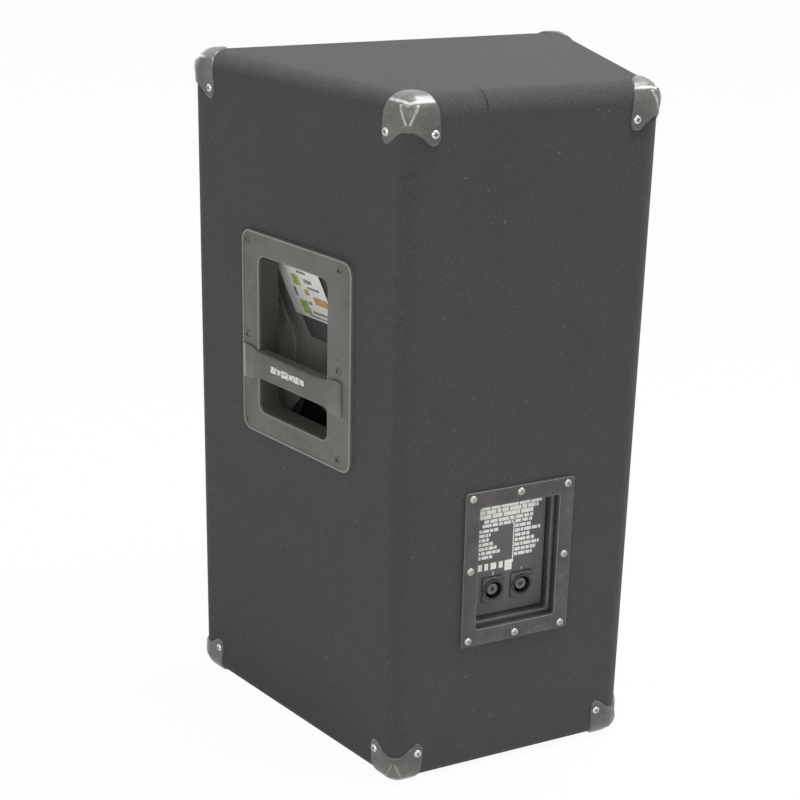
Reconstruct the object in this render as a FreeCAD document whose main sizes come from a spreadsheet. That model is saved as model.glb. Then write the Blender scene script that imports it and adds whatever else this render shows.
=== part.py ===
import FreeCAD, Part
import math
import os
import re

import Sketcher
from FreeCAD import Placement, Rotation, Vector

# Two-way loudspeaker cabinet for live sound: a felt-covered wooden box that narrows towards
# its rear, with a 15 inch woofer and a horn behind a steel grille, an open carrying handle in
# each side, a recessed connection plate in the rear and a pole socket in the base.
# +Z is up, the grille faces -Y, and the origin is on the floor under the middle of the box.

os.makedirs("parts", exist_ok=True)
doc = FreeCAD.newDocument("speaker_cabinet")

# ---------------------------------------------------------------- driving sizes, in mm

SIZES = {
    # the box, measured over its felt
    "cab_height": 750, "front_width": 478, "rear_width": 284, "cab_depth": 352,
    "board": 18, "board_round": 18, "felt": 3,
    "baffle_recess": 30, "batten": 20,
    # corner protectors
    "corner_wall": 2.2, "corner_drop": 36, "corner_reach_front": 46, "corner_reach_rear": 33,
    "corner_lobe": 10, "corner_screw_drop": 37, "corner_screw_front": 46, "corner_screw_rear": 29,
    "corner_screw_reach": 30, "screw_sink": 0.2, "block_size": 45,
    # front grille
    "grille_sheet": 1.5, "grille_gap": 1.5, "foam": 8, "spacer_radius": 4.5, "grille_margin": 8,
    "grille_drop": 30, "grille_screw_reach": 45,
    # woofer, turned about its own axis
    "woofer_height": 221, "woofer_radius": 195, "woofer_lap": 18, "woofer_flange": 5,
    "woofer_land": 24, "basket_depth": 102, "basket_floor": 89, "cone_thick": 1.5,
    "coil_radius": 38, "coil_wall": 1, "gap_play": 1.2, "roll_radius": 8,
    "surround_thick": 1.2, "top_plate_radius": 75, "top_plate": 8, "magnet_radius": 88,
    "magnet_thick": 20, "back_plate": 8, "vent_radius": 12, "gasket": 4,
    "woofer_screw_edge": 5.5, "basket_wall": 4, "basket_bore": 52, "basket_window": 108,
    "spider_seat": 74, "spider_level": 90, "spider_lap": 7, "spider_wave": 2.4,
    "spider_thick": 0.8, "cone_neck": 71, "cap_radius": 45, "cap_thick": 1.2, "coil_length": 51,
    "lug_level": 73, "lug": 14,
    # horn and its compression driver
    "horn_height": 545, "mouth_width": 236, "mouth_height": 176, "horn_lip": 16, "horn_wall": 3,
    "horn_flange": 4, "horn_depth": 125, "horn_waist": 70, "waist_width": 114,
    "waist_height": 84, "throat_radius": 12.7, "driver_plate": 8, "driver_radius": 60,
    "driver_magnet": 18, "driver_top": 6, "dome_radius": 22, "dome_gap": 0.9, "rear_cap": 24,
    "rear_cap_radius": 50, "cap_wall": 4, "throat_flange": 52, "driver_bolt": 38,
    "driver_bolt_reach": 11, "dome_lift": 3, "dome_rise": 8, "dome_sphere": 34,
    "dome_thick": 0.6, "suspension_radius": 32,
    # rear connection plate and its two sockets
    "terminal_height": 245, "terminal_width": 131, "terminal_tall": 180, "terminal_sheet": 3,
    "recess_width": 96, "recess_tall": 142, "recess_depth": 19, "recess_step": 7, "blade": 2.4,
    "blade_length": 20, "blade_tail": 9,
    "step_inset": 4, "recess_wall": 3, "socket_spacing": 35, "socket_drop": 38,
    "socket_radius": 12.2, "socket_depth": 24, "socket_slot": 9.8, "socket_core": 6.3,
    "socket_flange_width": 26, "socket_flange_tall": 31, "socket_flange": 2, "socket_lip": 1,
    "terminal_screw_x": 57, "terminal_screw_z": 83,
    # carrying handles
    "handle_height": 458, "handle_shift": 9, "handle_width": 186, "handle_tall": 230,
    "handle_sheet": 3.2, "handle_round": 14, "window_width": 118, "window_tall": 177,
    "window_round": 9, "handle_wall": 3, "grip_drop": 34, "grip_tall": 31, "grip_thick": 15,
    "grip_tab": 26, "tab_thick": 2.4, "handle_screw_y": 78.5, "handle_screw_z": 103,
    "handle_screw_mid": 4,
    # pole socket in the base
    "pole_shift": 5, "pole_bore": 18, "pole_wall": 2.5, "pole_depth": 85, "pole_flange": 45,
    "pole_flange_thick": 1.8, "pole_screw": 24, "pole_screw_head": 3.2,
    # crossover
    "pcb_width": 170, "pcb_depth": 96, "pcb_thick": 1.6, "pcb_lift": 8, "pcb_shift": 88,
    "pcb_margin": 8, "pcb_post": 5, "big_coil": 23, "big_coil_tall": 22, "small_coil": 17,
    "small_coil_tall": 16, "coil_core": 9, "film_radius": 9, "film_length": 38,
    "film_spacing": 24, "resistor_width": 10, "resistor_length": 48,
    # screws: shank radius, head radius and how far the shank reaches
    "screw_shank": 1.8, "screw_head": 4.2, "screw_rise": 1.6, "screw_reach": 16,
    "bolt_shank": 2.6, "bolt_head": 5, "bolt_rise": 3, "bolt_reach": 28,
    "pin_shank": 1.4, "pin_head": 2.8, "pin_rise": 1.2, "pin_reach": 7,
    # wadding and the inspection card
    "pad_foot": 59.5, "pad_lean": 24, "pad_thick": 22, "pad_head": 60, "pad_low": 430,
    "pad_tall": 220, "pad_start": -72, "pad_end": 12, "roof_wadding": 30,
    "card_low": 466, "card_tall": 78, "card_start": -70, "card_length": 74, "card_thick": 0.4,
    "wire_radius": 2, "fit_gap": 1,
}

# sizes that follow from the driving ones
DERIVED = {
    "slope": "(front_width - rear_width) / 2 / cab_depth",
    "side_angle": "atan(slope)",
    "secant": "sqrt(1 + slope * slope)",
    "mean_half": "(front_width + rear_width) / 4",
    "shell": "(felt + board)",
    "felt_round": "(board_round + felt)",
    "felt_top": "(corner_wall + cab_height)",
    "floor_in": "(corner_wall + shell)",
    "ceiling_in": "(felt_top - shell)",
    "front_face": "(-cab_depth / 2)",
    "rear_face": "(cab_depth / 2)",
    "baffle_front": "(front_face + felt + baffle_recess)",
    "baffle_back": "(baffle_front + board)",
    "rear_in": "(rear_face - shell)",
    "woofer_z": "(corner_wall + woofer_height)",
    "horn_z": "(corner_wall + horn_height)",
    "terminal_z": "(corner_wall + terminal_height)",
    "handle_z": "(corner_wall + handle_height)",
    "grille_back": "(front_face + grille_sheet)",
    "pole_y": "(-pole_shift)",
    "recess_floor": "(rear_face - recess_depth)",
    "woofer_hole": "(woofer_radius - woofer_lap)",
    "woofer_rim": "(woofer_radius - woofer_land)",
    "woofer_screw_circle": "(woofer_radius - woofer_screw_edge)",
    "cone_radius": "(woofer_rim - 2 * roll_radius)",
    "cone_edge_rise": "(cone_neck + woofer_flange)",
}

sheet = doc.addObject("Spreadsheet::Sheet", "sizes")
for row, (alias, value) in enumerate(SIZES.items(), start=1):
    sheet.set("A%d" % row, alias)
    sheet.set("B%d" % row, str(value))
    sheet.setAlias("B%d" % row, alias)
doc.recompute()

PIECES = []


def ex(text):
    """The expression with derived sizes written out and each driving size read from the sheet."""
    def swap(match):
        word = match.group(0)
        if word in DERIVED:
            return "(" + ex(DERIVED[word]) + ")"
        return "sizes." + word if word in SIZES else word
    return re.sub(r"[a-z][a-z_]*", swap, str(text))


def num(text):
    """The value of an expression in the sheet's sizes."""
    value = sheet.evalExpression(ex(text))
    return float(getattr(value, "Value", value))


def vec(x, y, z):
    return Vector(num(x), num(y), num(z))


def half_width(y, inset="0"):
    """Half the box's width at depth y, on a plane lying inset inside the felt's face."""
    return "(mean_half - (%s) * slope - (%s) * secant)" % (y, inset)


TURNS = {
    "x": Rotation(Vector(0, 1, 0), 90), "-x": Rotation(Vector(0, 1, 0), -90),
    "y": Rotation(Vector(1, 0, 0), -90), "-y": Rotation(Vector(1, 0, 0), 90),
    "z": Rotation(), "-z": Rotation(Vector(1, 0, 0), 180),
}


def place(obj, base=("0", "0", "0"), axis="z"):
    """Puts an object's own +Z along axis and its origin at base, bound to the sheet."""
    obj.Placement = Placement(vec(*base), TURNS[axis])
    for letter, text in zip("xyz", base):
        obj.setExpression("Placement.Base." + letter, ex(text))
    return obj


def place_on_side(obj):
    """Turns an object from the side frame onto the box's right side."""
    obj.Placement = Placement(vec("mean_half", "0", "0"), Rotation(Vector(0, 0, 1), num("side_angle")))
    obj.setExpression("Placement.Base.x", ex("mean_half"))
    obj.setExpression("Placement.Rotation.Angle", ex("side_angle"))
    return obj


# The side frame: x runs out of the box at right angles to its right side, from the felt's
# face, y runs along the side towards the rear, from mid-depth, and z is height.
SIDE = Placement(vec("mean_half", "0", "0"), Rotation(Vector(0, 0, 1), num("side_angle")))


def block(name, size, corner):
    box = doc.addObject("Part::Box", name)
    for prop, text in zip(("Length", "Width", "Height"), size):
        box.setExpression(prop, ex(text))
    return place(box, corner)


def rod(name, radius, length, base=("0", "0", "0"), axis="z"):
    cylinder = doc.addObject("Part::Cylinder", name)
    cylinder.setExpression("Radius", ex(radius))
    cylinder.setExpression("Height", ex(length))
    return place(cylinder, base, axis)


def join(kind, name, parts):
    result = doc.addObject(kind, name)
    result.Shapes = parts
    return result


def fuse(name, *parts):
    return join("Part::MultiFuse", name, list(parts))


def common(name, *parts):
    return join("Part::MultiCommon", name, list(parts))


def cut(name, base, *tools):
    tool = tools[0] if len(tools) == 1 else group(name + "_tools", *tools)
    result = doc.addObject("Part::Cut", name)
    result.Base = base
    result.Tool = tool
    return result


def group(name, *parts):
    result = doc.addObject("Part::Compound", name)
    result.Links = list(parts)
    return result


def mirror(name, source, normal="x", at="0"):
    result = doc.addObject("Part::Mirroring", name)
    result.Source = source
    result.Normal = {"x": Vector(1, 0, 0), "z": Vector(0, 0, 1)}[normal]
    if normal == "z":
        result.setExpression("Base.z", ex(at))
    return result


def origin_plane(body, role):
    return next(item for item in body.Origin.OriginFeatures if item.Role == role)


def sketch_on(body, name, role, outline):
    """A closed outline of straight lines, each corner held by its own two bound distances."""
    sketch = body.newObject("Sketcher::SketchObject", name)
    sketch.AttachmentSupport = [(origin_plane(body, role), "")]
    sketch.MapMode = "FlatFace"
    corners = [Vector(num(x), num(y), 0) for x, y in outline]
    for start, end in zip(corners, corners[1:] + corners[:1]):
        sketch.addGeometry(Part.LineSegment(start, end))
    count = len(corners)
    for index in range(count):
        sketch.addConstraint(Sketcher.Constraint("Coincident", index, 2, (index + 1) % count, 1))
    for index, pair in enumerate(outline):
        for kind, text in zip(("DistanceX", "DistanceY"), pair):
            number = sketch.addConstraint(Sketcher.Constraint(kind, -1, 1, index, 1, num(text)))
            sketch.setExpression("Constraints[%d]" % number, ex(text))
    return sketch


def slab(name, axis, outline, start, length, rounding=None, every_edge=False):
    """A plate: an outline padded along one axis of the box from start, its edges rounded."""
    body = doc.addObject("PartDesign::Body", name)
    role = {"x": "YZ_Plane", "y": "XZ_Plane", "z": "XY_Plane"}[axis]
    sketch = sketch_on(body, name + "_outline", role, outline)
    sketch.setExpression("AttachmentOffset.Base.z", ex(("-(%s)" if axis == "y" else "%s") % start))
    pad = body.newObject("PartDesign::Pad", name + "_pad")
    pad.Profile = sketch
    pad.Reversed = axis == "y"
    pad.setExpression("Length", ex(length))
    if rounding is not None:
        doc.recompute()
        along = {"x": Vector(1, 0, 0), "y": Vector(0, 1, 0), "z": Vector(0, 0, 1)}[axis]
        edges = []
        for number, edge in enumerate(pad.Shape.Edges, start=1):
            if every_edge or abs(edge.tangentAt(edge.FirstParameter).dot(along)) > 0.999:
                edges.append("Edge%d" % number)
        rounded = body.newObject("PartDesign::Fillet", name + "_rounding")
        rounded.Base = (pad, edges)
        rounded.setExpression("Radius", ex(rounding))
    return body


def rectangle(width, tall, across="0", up="0"):
    """A rectangle's corners about its centre."""
    low, high = "(%s) - (%s) / 2", "(%s) + (%s) / 2"
    left, right = low % (across, width), high % (across, width)
    bottom, top = low % (up, tall), high % (up, tall)
    return [(left, bottom), (right, bottom), (right, top), (left, top)]


def turned(name, profile, base=("0", "0", "0"), axis="z"):
    """A turned piece: a profile of radius and height, revolved about the piece's own +Z."""
    body = doc.addObject("PartDesign::Body", name)
    sketch = sketch_on(body, name + "_profile", "XZ_Plane", profile)
    spin = body.newObject("PartDesign::Revolution", name + "_spin")
    spin.Profile = sketch
    spin.ReferenceAxis = (sketch, ["V_Axis"])
    spin.Angle = 360
    return place(body, base, axis)


def ring(name, inner, outer, start, length, base=("0", "0", "0"), axis="z"):
    """A plain ring, its length running from start."""
    end = "(%s) + (%s)" % (start, length)
    return turned(name, [(inner, start), (outer, start), (outer, end), (inner, end)], base, axis)


def trapezoid(front, rear, inset):
    """The box's plan between two depths, its slanted sides lying inset inside the felt's face."""
    wide, narrow = half_width(front, inset), half_width(rear, inset)
    return [("-" + wide, front), (wide, front), (narrow, rear), ("-" + narrow, rear)]


def box_shape(name, inset, rounding):
    """The whole box as one solid, with every face lying inset inside the felt's face."""
    front = "front_face + (%s)" % inset
    rear = "rear_face - (%s)" % inset
    return slab(name, "z", trapezoid(front, rear, inset), "corner_wall + (%s)" % inset,
                "cab_height - 2 * (%s)" % inset, rounding, every_edge=True)


def plan_prism(name, front, rear, bottom, top, inset="shell"):
    """A plain prism of the box's plan between two depths and two heights."""
    return slab(name, "z", trapezoid(front, rear, inset), bottom, "(%s) - (%s)" % (top, bottom))


def screw_shape(shank, head, rise, reach):
    """A screw standing on its seat at z = 0: a domed head above and a plain shank below."""
    bore = Part.makeCylinder(num(shank), num(reach), Vector(0, 0, -num(reach)))
    radius = (num(head) ** 2 + num(rise) ** 2) / 2 / num(rise)
    ball = Part.makeSphere(radius, Vector(0, 0, num(rise) - radius))
    seat = Part.makeCylinder(num(head), num(rise) * 2)
    return ball.common(seat).fuse(bore).removeSplitter()


def flush_screw_shape(shank, head, reach):
    """A countersunk screw whose head lies just below z = 0."""
    sink = num(head) - num(shank)
    top = -num("screw_sink")
    cone = Part.makeCone(num(shank), num(head), sink, Vector(0, 0, top - sink))
    return cone.fuse(Part.makeCylinder(num(shank), num(reach), Vector(0, 0, -num(reach))))


def copies(name, shape, frames):
    """One object holding a copy of the shape in each frame."""
    result = doc.addObject("Part::Feature", name)
    result.Shape = Part.makeCompound([shape.transformed(frame.toMatrix()) for frame in frames])
    return result


def piece(label, obj):
    """Names an object as one of the cabinet's sub-parts."""
    obj.Label = label
    PIECES.append(obj)
    return obj


# ---------------------------------------------------------------- where the screws go

# Every corner protector is held by two screws, one through each of its upright lobes. The
# upper right ones are laid out, and the others mirror them. The ones in the front face are
# longer, because they pass through the grille and its foam into a block.

half_side = "(cab_depth * secant / 2)"
corner_frames = []
front_frames = []
for end, inward in ((-1, "corner_screw_front"), (1, "corner_screw_rear")):
    edge = "%d * cab_depth / 2" % end
    along = "%d * (%s - %s)" % (end, half_side, inward)
    high = "felt_top - corner_screw_drop"
    corner_frames.append(SIDE * Placement(vec("corner_wall", along, high), TURNS["x"]))
    (front_frames if end < 0 else corner_frames).append(Placement(
        vec(half_width(edge) + " - " + inward, "%d * (cab_depth / 2 + corner_wall)" % end, high),
        TURNS["-y" if end < 0 else "y"]))

short_screw = flush_screw_shape("screw_shank", "screw_head", "screw_reach")
long_screw = flush_screw_shape("screw_shank", "screw_head", "corner_screw_reach")
upper_right = group("corner_screws_upper_right",
                    copies("corner_screws_short", short_screw, corner_frames),
                    copies("corner_screws_long", long_screw, front_frames))
upper_left = mirror("corner_screws_upper_left", upper_right)
upper = group("corner_screws_upper", upper_right, upper_left)
middle_height = "(felt_top + corner_wall) / 2"
lower = mirror("corner_screws_lower", upper, "z", middle_height)
corner_screws = piece("corner_screws", group("corner_screws", upper, lower))

handle_frames = []
for across in ("handle_screw_y", "-handle_screw_y"):
    for up in ("handle_screw_z", "-handle_screw_mid", "-handle_screw_z"):
        spot = vec("handle_sheet", "handle_shift + " + across, "handle_z + " + up)
        handle_frames.append(SIDE * Placement(spot, TURNS["x"]))
wood_screw = screw_shape("screw_shank", "screw_head", "screw_rise", "screw_reach")
handle_screws_right = copies("handle_screws_on_right", wood_screw, handle_frames)
handle_screws_left = mirror("handle_screws_on_left", handle_screws_right)
handle_screws = group("handle_screws", handle_screws_right, handle_screws_left)

terminal_frames = []
for across, up in ((-1, -1), (-1, 0), (-1, 1), (0, -1), (0, 1), (1, -1), (1, 0), (1, 1)):
    spot = vec("%d * terminal_screw_x" % across, "rear_face + terminal_sheet",
               "terminal_z + %d * terminal_screw_z" % up)
    terminal_frames.append(Placement(spot, TURNS["y"]))
terminal_screws = copies("terminal_screws", wood_screw, terminal_frames)
piece("panel_screws", group("panel_screws", handle_screws, terminal_screws))

WOOFER = ("0", "baffle_front", "woofer_z")
bolt = screw_shape("bolt_shank", "bolt_head", "bolt_rise", "bolt_reach")
woofer_frames = []
for step in range(8):
    turn = math.radians(22.5 + 45 * step)
    spot = vec("woofer_screw_circle * %.9f" % math.cos(turn), "baffle_front - woofer_flange - gasket",
               "woofer_z + woofer_screw_circle * %.9f" % math.sin(turn))
    woofer_frames.append(Placement(spot, TURNS["-y"]))
woofer_screws = piece("woofer_screws", copies("woofer_screws", bolt, woofer_frames))

HORN = ("0", "baffle_front", "horn_z")
horn_x = "(mouth_width / 2 + horn_lip / 2)"
horn_y = "(mouth_height / 2 + horn_lip / 2)"
horn_frames = []
for across, up in ((-1, -1), (-1, 0), (-1, 1), (0, -1), (0, 1), (1, -1), (1, 0), (1, 1)):
    spot = vec("%d * %s" % (across, horn_x), "baffle_front - horn_flange",
               "horn_z + %d * %s" % (up, horn_y))
    horn_frames.append(Placement(spot, TURNS["-y"]))
horn_screws = piece("horn_screws", copies("horn_screws", wood_screw, horn_frames))

# the grille's own screws stand between the corner blocks, each through a rubber spacer
grille_half = "(%s - grille_gap)" % half_width("grille_back + foam", "shell")
spacer_side = "(%s - grille_margin)" % half_width("baffle_front", "shell")
spacer_spots = [("0", "ceiling_in - grille_margin")]
for across in ("", "-"):
    spacer_spots.append((across + "front_width / 4", "floor_in + grille_margin"))
    spacer_spots.append((across + spacer_side, "(woofer_z + woofer_radius + horn_z) / 2 - grille_drop"))
grille_screw = screw_shape("screw_shank", "screw_head", "screw_rise", "grille_screw_reach")
grille_frames = [Placement(vec(x, "front_face", z), TURNS["-y"]) for x, z in spacer_spots]
grille_screws = piece("grille_screws", copies("grille_screws", grille_screw, grille_frames))

pole_frames = []
for across, deep in ((-1, -1), (-1, 1), (1, -1), (1, 1)):
    spot = vec("%d * pole_screw" % across, "pole_y + %d * pole_screw" % deep,
               "corner_wall - pole_flange_thick")
    pole_frames.append(Placement(spot, TURNS["-z"]))
base_screw = flush_screw_shape("screw_shank", "pole_screw_head", "screw_reach")
pole_screws = piece("pole_socket_screws", copies("pole_socket_screws", base_screw, pole_frames))

board_frames = []
for across, deep in ((-1, -1), (-1, 1), (1, -1), (1, 1)):
    spot = vec("%d * (pcb_width / 2 - pcb_margin)" % across,
               "pcb_shift + %d * (pcb_depth / 2 - pcb_margin)" % deep, "floor_in + pcb_lift + pcb_thick")
    board_frames.append(Placement(spot, TURNS["z"]))
board_screws = copies("board_screws", wood_screw, board_frames)

# ---------------------------------------------------------------- wooden box and its felt

wood = box_shape("wood_shape", "felt", "board_round")
hollow = plan_prism("hollow", "-cab_depth", "cab_depth", "-cab_height", "2 * cab_height")
walls = cut("walls", wood, hollow)
right_of_middle = block("right_of_middle", ("front_width", "2 * cab_depth", "2 * cab_height"),
                        ("0", "-cab_depth", "-cab_height / 2"))
right_wall = common("right_wall", walls, right_of_middle)

window_hole = place_on_side(slab(
    "window_hole", "x",
    rectangle("window_width + 2 * (handle_wall + fit_gap)", "window_tall + 2 * (handle_wall + fit_gap)",
              "handle_shift", "handle_z"),
    "-2 * shell", "4 * shell", "window_round + handle_wall + fit_gap"))
window_hole_left = mirror("window_hole_left", window_hole)
left_wall = mirror("left_wall", right_wall)
piece("side_panel_right", cut(
    "side_panel_right", right_wall, window_hole, handle_screws_right, corner_screws))
piece("side_panel_left", cut(
    "side_panel_left", left_wall, window_hole_left, handle_screws_left, corner_screws))

pole_hole = rod("pole_hole", "pole_bore + pole_wall + fit_gap / 2", "4 * shell", ("0", "pole_y", "-shell"))
top_strip = plan_prism("top_strip", "-cab_depth", "cab_depth", "ceiling_in", "2 * cab_height")
bottom_strip = plan_prism("bottom_strip", "-cab_depth", "cab_depth", "-shell", "floor_in")
piece("top_panel", cut("top_panel", common("top_board", wood, top_strip), corner_screws))
piece("bottom_panel", cut(
    "bottom_panel", common("bottom_board", wood, bottom_strip), pole_hole, pole_screws, board_screws,
    corner_screws))

terminal_hole = slab(
    "terminal_hole", "y",
    rectangle("recess_width + 2 * (recess_wall + fit_gap)", "recess_tall + 2 * (recess_wall + fit_gap)",
              "0", "terminal_z"), "rear_in - shell", "4 * shell")
rear_strip = plan_prism("rear_strip", "rear_in", "2 * cab_depth", "floor_in", "ceiling_in")
piece("rear_panel", cut(
    "rear_panel", common("rear_board", wood, rear_strip), terminal_hole, terminal_screws, corner_screws))

woofer_opening = rod("woofer_opening", "woofer_hole", "3 * board",
                     ("0", "baffle_front - board", "woofer_z"), "y")
horn_opening = slab(
    "horn_opening", "y",
    rectangle("mouth_width + 2 * (horn_wall + fit_gap)", "mouth_height + 2 * (horn_wall + fit_gap)",
              "0", "horn_z"), "baffle_front - board", "3 * board")
piece("front_baffle", cut(
    "front_baffle", plan_prism("baffle_board", "baffle_front", "baffle_back", "floor_in", "ceiling_in"),
    woofer_opening, horn_opening, woofer_screws, horn_screws, grille_screws))

# glued battens behind the baffle, down both sides and along the top and bottom
batten_side = common("batten_side", slab(
    "batten_side_strip", "z",
    [(half_width("baffle_back", "shell + batten"), "baffle_back"),
     (half_width("baffle_back", "0"), "baffle_back"),
     (half_width("baffle_back + batten", "0"), "baffle_back + batten"),
     (half_width("baffle_back + batten", "shell + batten"), "baffle_back + batten")],
    "floor_in", "ceiling_in - floor_in"), hollow)
batten_top = plan_prism("batten_top", "baffle_back", "baffle_back + batten", "ceiling_in - batten",
                        "ceiling_in", "shell + batten")
batten_bottom = plan_prism("batten_bottom", "baffle_back", "baffle_back + batten", "floor_in",
                           "floor_in + batten", "shell + batten")
window_clear = place_on_side(slab(
    "window_clear", "x",
    rectangle("window_width + 2 * batten", "window_tall + 2 * batten", "handle_shift", "handle_z"),
    "-2 * shell - batten", "2 * shell"))
batten_right = cut("batten_right", batten_side, window_clear)
battens = cut("battens", group(
    "batten_group", batten_right, mirror("batten_left", batten_right), batten_top, batten_bottom),
    woofer_opening, woofer_screws)

# four blocks fill the front corners, where the corner protectors are screwed through the grille
corner_block = common("corner_block", hollow, slab(
    "corner_block_strip", "y", rectangle("2 * front_width", "block_size", "0", "floor_in + block_size / 2"),
    "grille_back + foam", "baffle_front - grille_back - foam"))
keep_right = plan_prism("keep_right", "-cab_depth", "cab_depth", "-cab_height", "cab_height",
                        "shell + block_size")
block_pair = cut("block_pair", corner_block, keep_right)
block_pair_top = mirror("block_pair_top", block_pair, "z", middle_height)
blocks = group("block_pairs", block_pair, block_pair_top)
piece("glue_blocks", group("glue_blocks", battens, cut("corner_blocks", blocks, corner_screws)))

felt_shape = box_shape("felt_shape", "0", "felt_round")
front_opening = plan_prism("front_opening", "-cab_depth", "baffle_front", "floor_in", "ceiling_in")
piece("felt_covering", cut(
    "felt_covering", felt_shape, wood, front_opening, window_hole, window_hole_left, terminal_hole,
    pole_hole, handle_screws, terminal_screws, pole_screws, corner_screws))

# ---------------------------------------------------------------- corner protectors

cover_shape = box_shape("cover_shape", "-corner_wall", "felt_round + corner_wall")
cover_skin = cut("cover_skin", cover_shape, felt_shape)


def corner_cap(name, end, reach, inward):
    """A protector's blank at an upper right corner: a round cap with a lobe about each screw."""
    edge = "%d * cab_depth / 2" % end
    high = "felt_top - corner_screw_drop"
    cap = rod(name + "_cap", reach, "2 * corner_drop",
              (half_width(edge), edge, "felt_top - corner_drop"))
    face_lobe = rod(name + "_face_lobe", "corner_lobe", "corner_lobe",
                    (half_width(edge) + " - " + inward, edge + " - corner_lobe / 2", high), "y")
    side_lobe = rod(name + "_side_lobe_turned", "corner_lobe", "corner_lobe",
                    ("-corner_lobe / 2", "%d * (%s - %s)" % (end, half_side, inward), high), "x")
    side_lobe = place_on_side(group(name + "_side_lobe", side_lobe))
    region = fuse(name + "_region", cap, face_lobe, side_lobe)
    return cut(name + "_blank", common(name + "_skin", cover_skin, region), corner_screws)


CAPS = (("front", -1, "corner_reach_front", "corner_screw_front"),
        ("rear", 1, "corner_reach_rear", "corner_screw_rear"))
for place_name, end, reach, inward in CAPS:
    right_cap = corner_cap("corner_%s" % place_name, end, reach, inward)
    top_right = piece("corner_%s_top_right" % place_name, right_cap)
    top_left = piece("corner_%s_top_left" % place_name, mirror("corner_%s_tl" % place_name, top_right))
    for side_name, source in (("right", top_right), ("left", top_left)):
        piece("corner_%s_bottom_%s" % (place_name, side_name),
              mirror("corner_%s_b%s" % (place_name, side_name), source, "z", middle_height))

# ---------------------------------------------------------------- grille

grille_outline = rectangle("2 * (%s)" % grille_half, "ceiling_in - floor_in - 2 * grille_gap",
                           "0", "(ceiling_in + floor_in) / 2")
grille_blank = common("grille_blank", felt_shape, slab(
    "grille_sheet_blank", "y", grille_outline, "front_face", "grille_sheet"))
piece("grille", cut("grille", grille_blank, grille_screws, corner_screws))
foam_blank = slab("foam_blank", "y", grille_outline, "front_face + grille_sheet", "foam")
piece("grille_foam", cut("grille_foam", foam_blank, grille_screws, corner_screws))
spacers = []
for index, (x, z) in enumerate(spacer_spots):
    spacers.append(rod("spacer_%d" % index, "spacer_radius", "baffle_front - grille_back - foam",
                       (x, "grille_back + foam", z), "y"))
piece("grille_spacers", cut("grille_spacers", group("spacer_group", *spacers), grille_screws))

# ---------------------------------------------------------------- woofer

basket_shell = turned("basket_shell", [
    ("woofer_radius", "-woofer_flange"), ("woofer_radius", "0"), ("woofer_hole - fit_gap", "0"),
    ("basket_floor", "basket_depth"), ("basket_bore", "basket_depth"),
    ("basket_bore", "basket_depth - basket_wall"), ("spider_seat", "basket_depth - basket_wall"),
    ("spider_seat", "spider_level"), ("basket_floor + basket_wall", "spider_level"),
    ("woofer_rim", "-basket_wall / 4"), ("woofer_rim", "-woofer_flange")], WOOFER, "y")
windows = []
window_in = "basket_floor + 2.5 * basket_wall"
window_out = "woofer_rim - 2.5 * basket_wall"
for step in range(6):
    sector = slab("basket_window_%d" % step, "z", [
        (window_in, "-basket_window / 4"), (window_out, "-basket_window / 2"),
        (window_out, "basket_window / 2"), (window_in, "basket_window / 4")],
        "-woofer_flange", "basket_depth")
    sector.Placement = Placement(Vector(0, 0, 0), Rotation(Vector(0, 0, 1), 60 * step + 30))
    windows.append(sector)
basket_windows = place(group("basket_windows", *windows), WOOFER, "y")
piece("woofer_basket", cut("woofer_basket", basket_shell, basket_windows, woofer_screws))

gasket_level = "-woofer_flange - gasket"
gasket_ring = ring("gasket_ring", "woofer_rim + 2.5 * basket_wall", "woofer_radius", gasket_level,
                   "gasket", WOOFER, "y")
piece("woofer_gasket", cut("woofer_gasket", gasket_ring, woofer_screws))

cone_edge = "-woofer_flange"
piece("woofer_cone", turned("woofer_cone", [
    ("cone_radius", cone_edge), ("cone_radius", cone_edge + " + cone_thick"),
    ("coil_radius", "cone_neck + cone_thick"), ("coil_radius", "cone_neck")], WOOFER, "y"))

# the half roll lies between the cone's edge and the basket's rim
roll_centre = "(cone_radius + roll_radius)"
roll_level = cone_edge + " - surround_thick"


def torus(name, radius, section, base, axis):
    result = doc.addObject("Part::Torus", name)
    result.setExpression("Radius1", ex(radius))
    result.setExpression("Radius2", ex(section))
    return place(result, base, axis)


ROLL = ("0", "baffle_front + " + roll_level, "woofer_z")
roll = cut("roll_tube", torus("roll_outside", roll_centre, "roll_radius", ROLL, "y"),
           torus("roll_inside", roll_centre, "roll_radius - surround_thick", ROLL, "y"))
roll_front = rod("roll_front", "woofer_radius", "2 * roll_radius",
                 ("0", "baffle_front + %s - 2 * roll_radius" % roll_level, "woofer_z"), "y")
half_roll = common("half_roll", roll, roll_front)
inner_lip = ring("inner_lip", "cone_radius - roll_radius", "cone_radius + surround_thick", roll_level,
                 "surround_thick", WOOFER, "y")
outer_lip = ring("outer_lip", "%s + roll_radius - surround_thick" % roll_centre,
                 "woofer_rim + 2.5 * basket_wall", roll_level, "surround_thick", WOOFER, "y")
piece("woofer_surround", fuse("woofer_surround", half_roll, inner_lip, outer_lip))

# the dust cap is a shallow dome over the cone's neck
cap_sphere = "(cap_radius * 4 / 3)"
cap_level = "(cone_neck - cone_edge_rise * (cap_radius - coil_radius) / (cone_radius - coil_radius))"
cap_centre = "%s + sqrt(%s * %s - cap_radius * cap_radius)" % (cap_level, cap_sphere, cap_sphere)


def ball(name, radius, base):
    result = doc.addObject("Part::Sphere", name)
    result.setExpression("Radius", ex(radius))
    return place(result, base)


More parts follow.
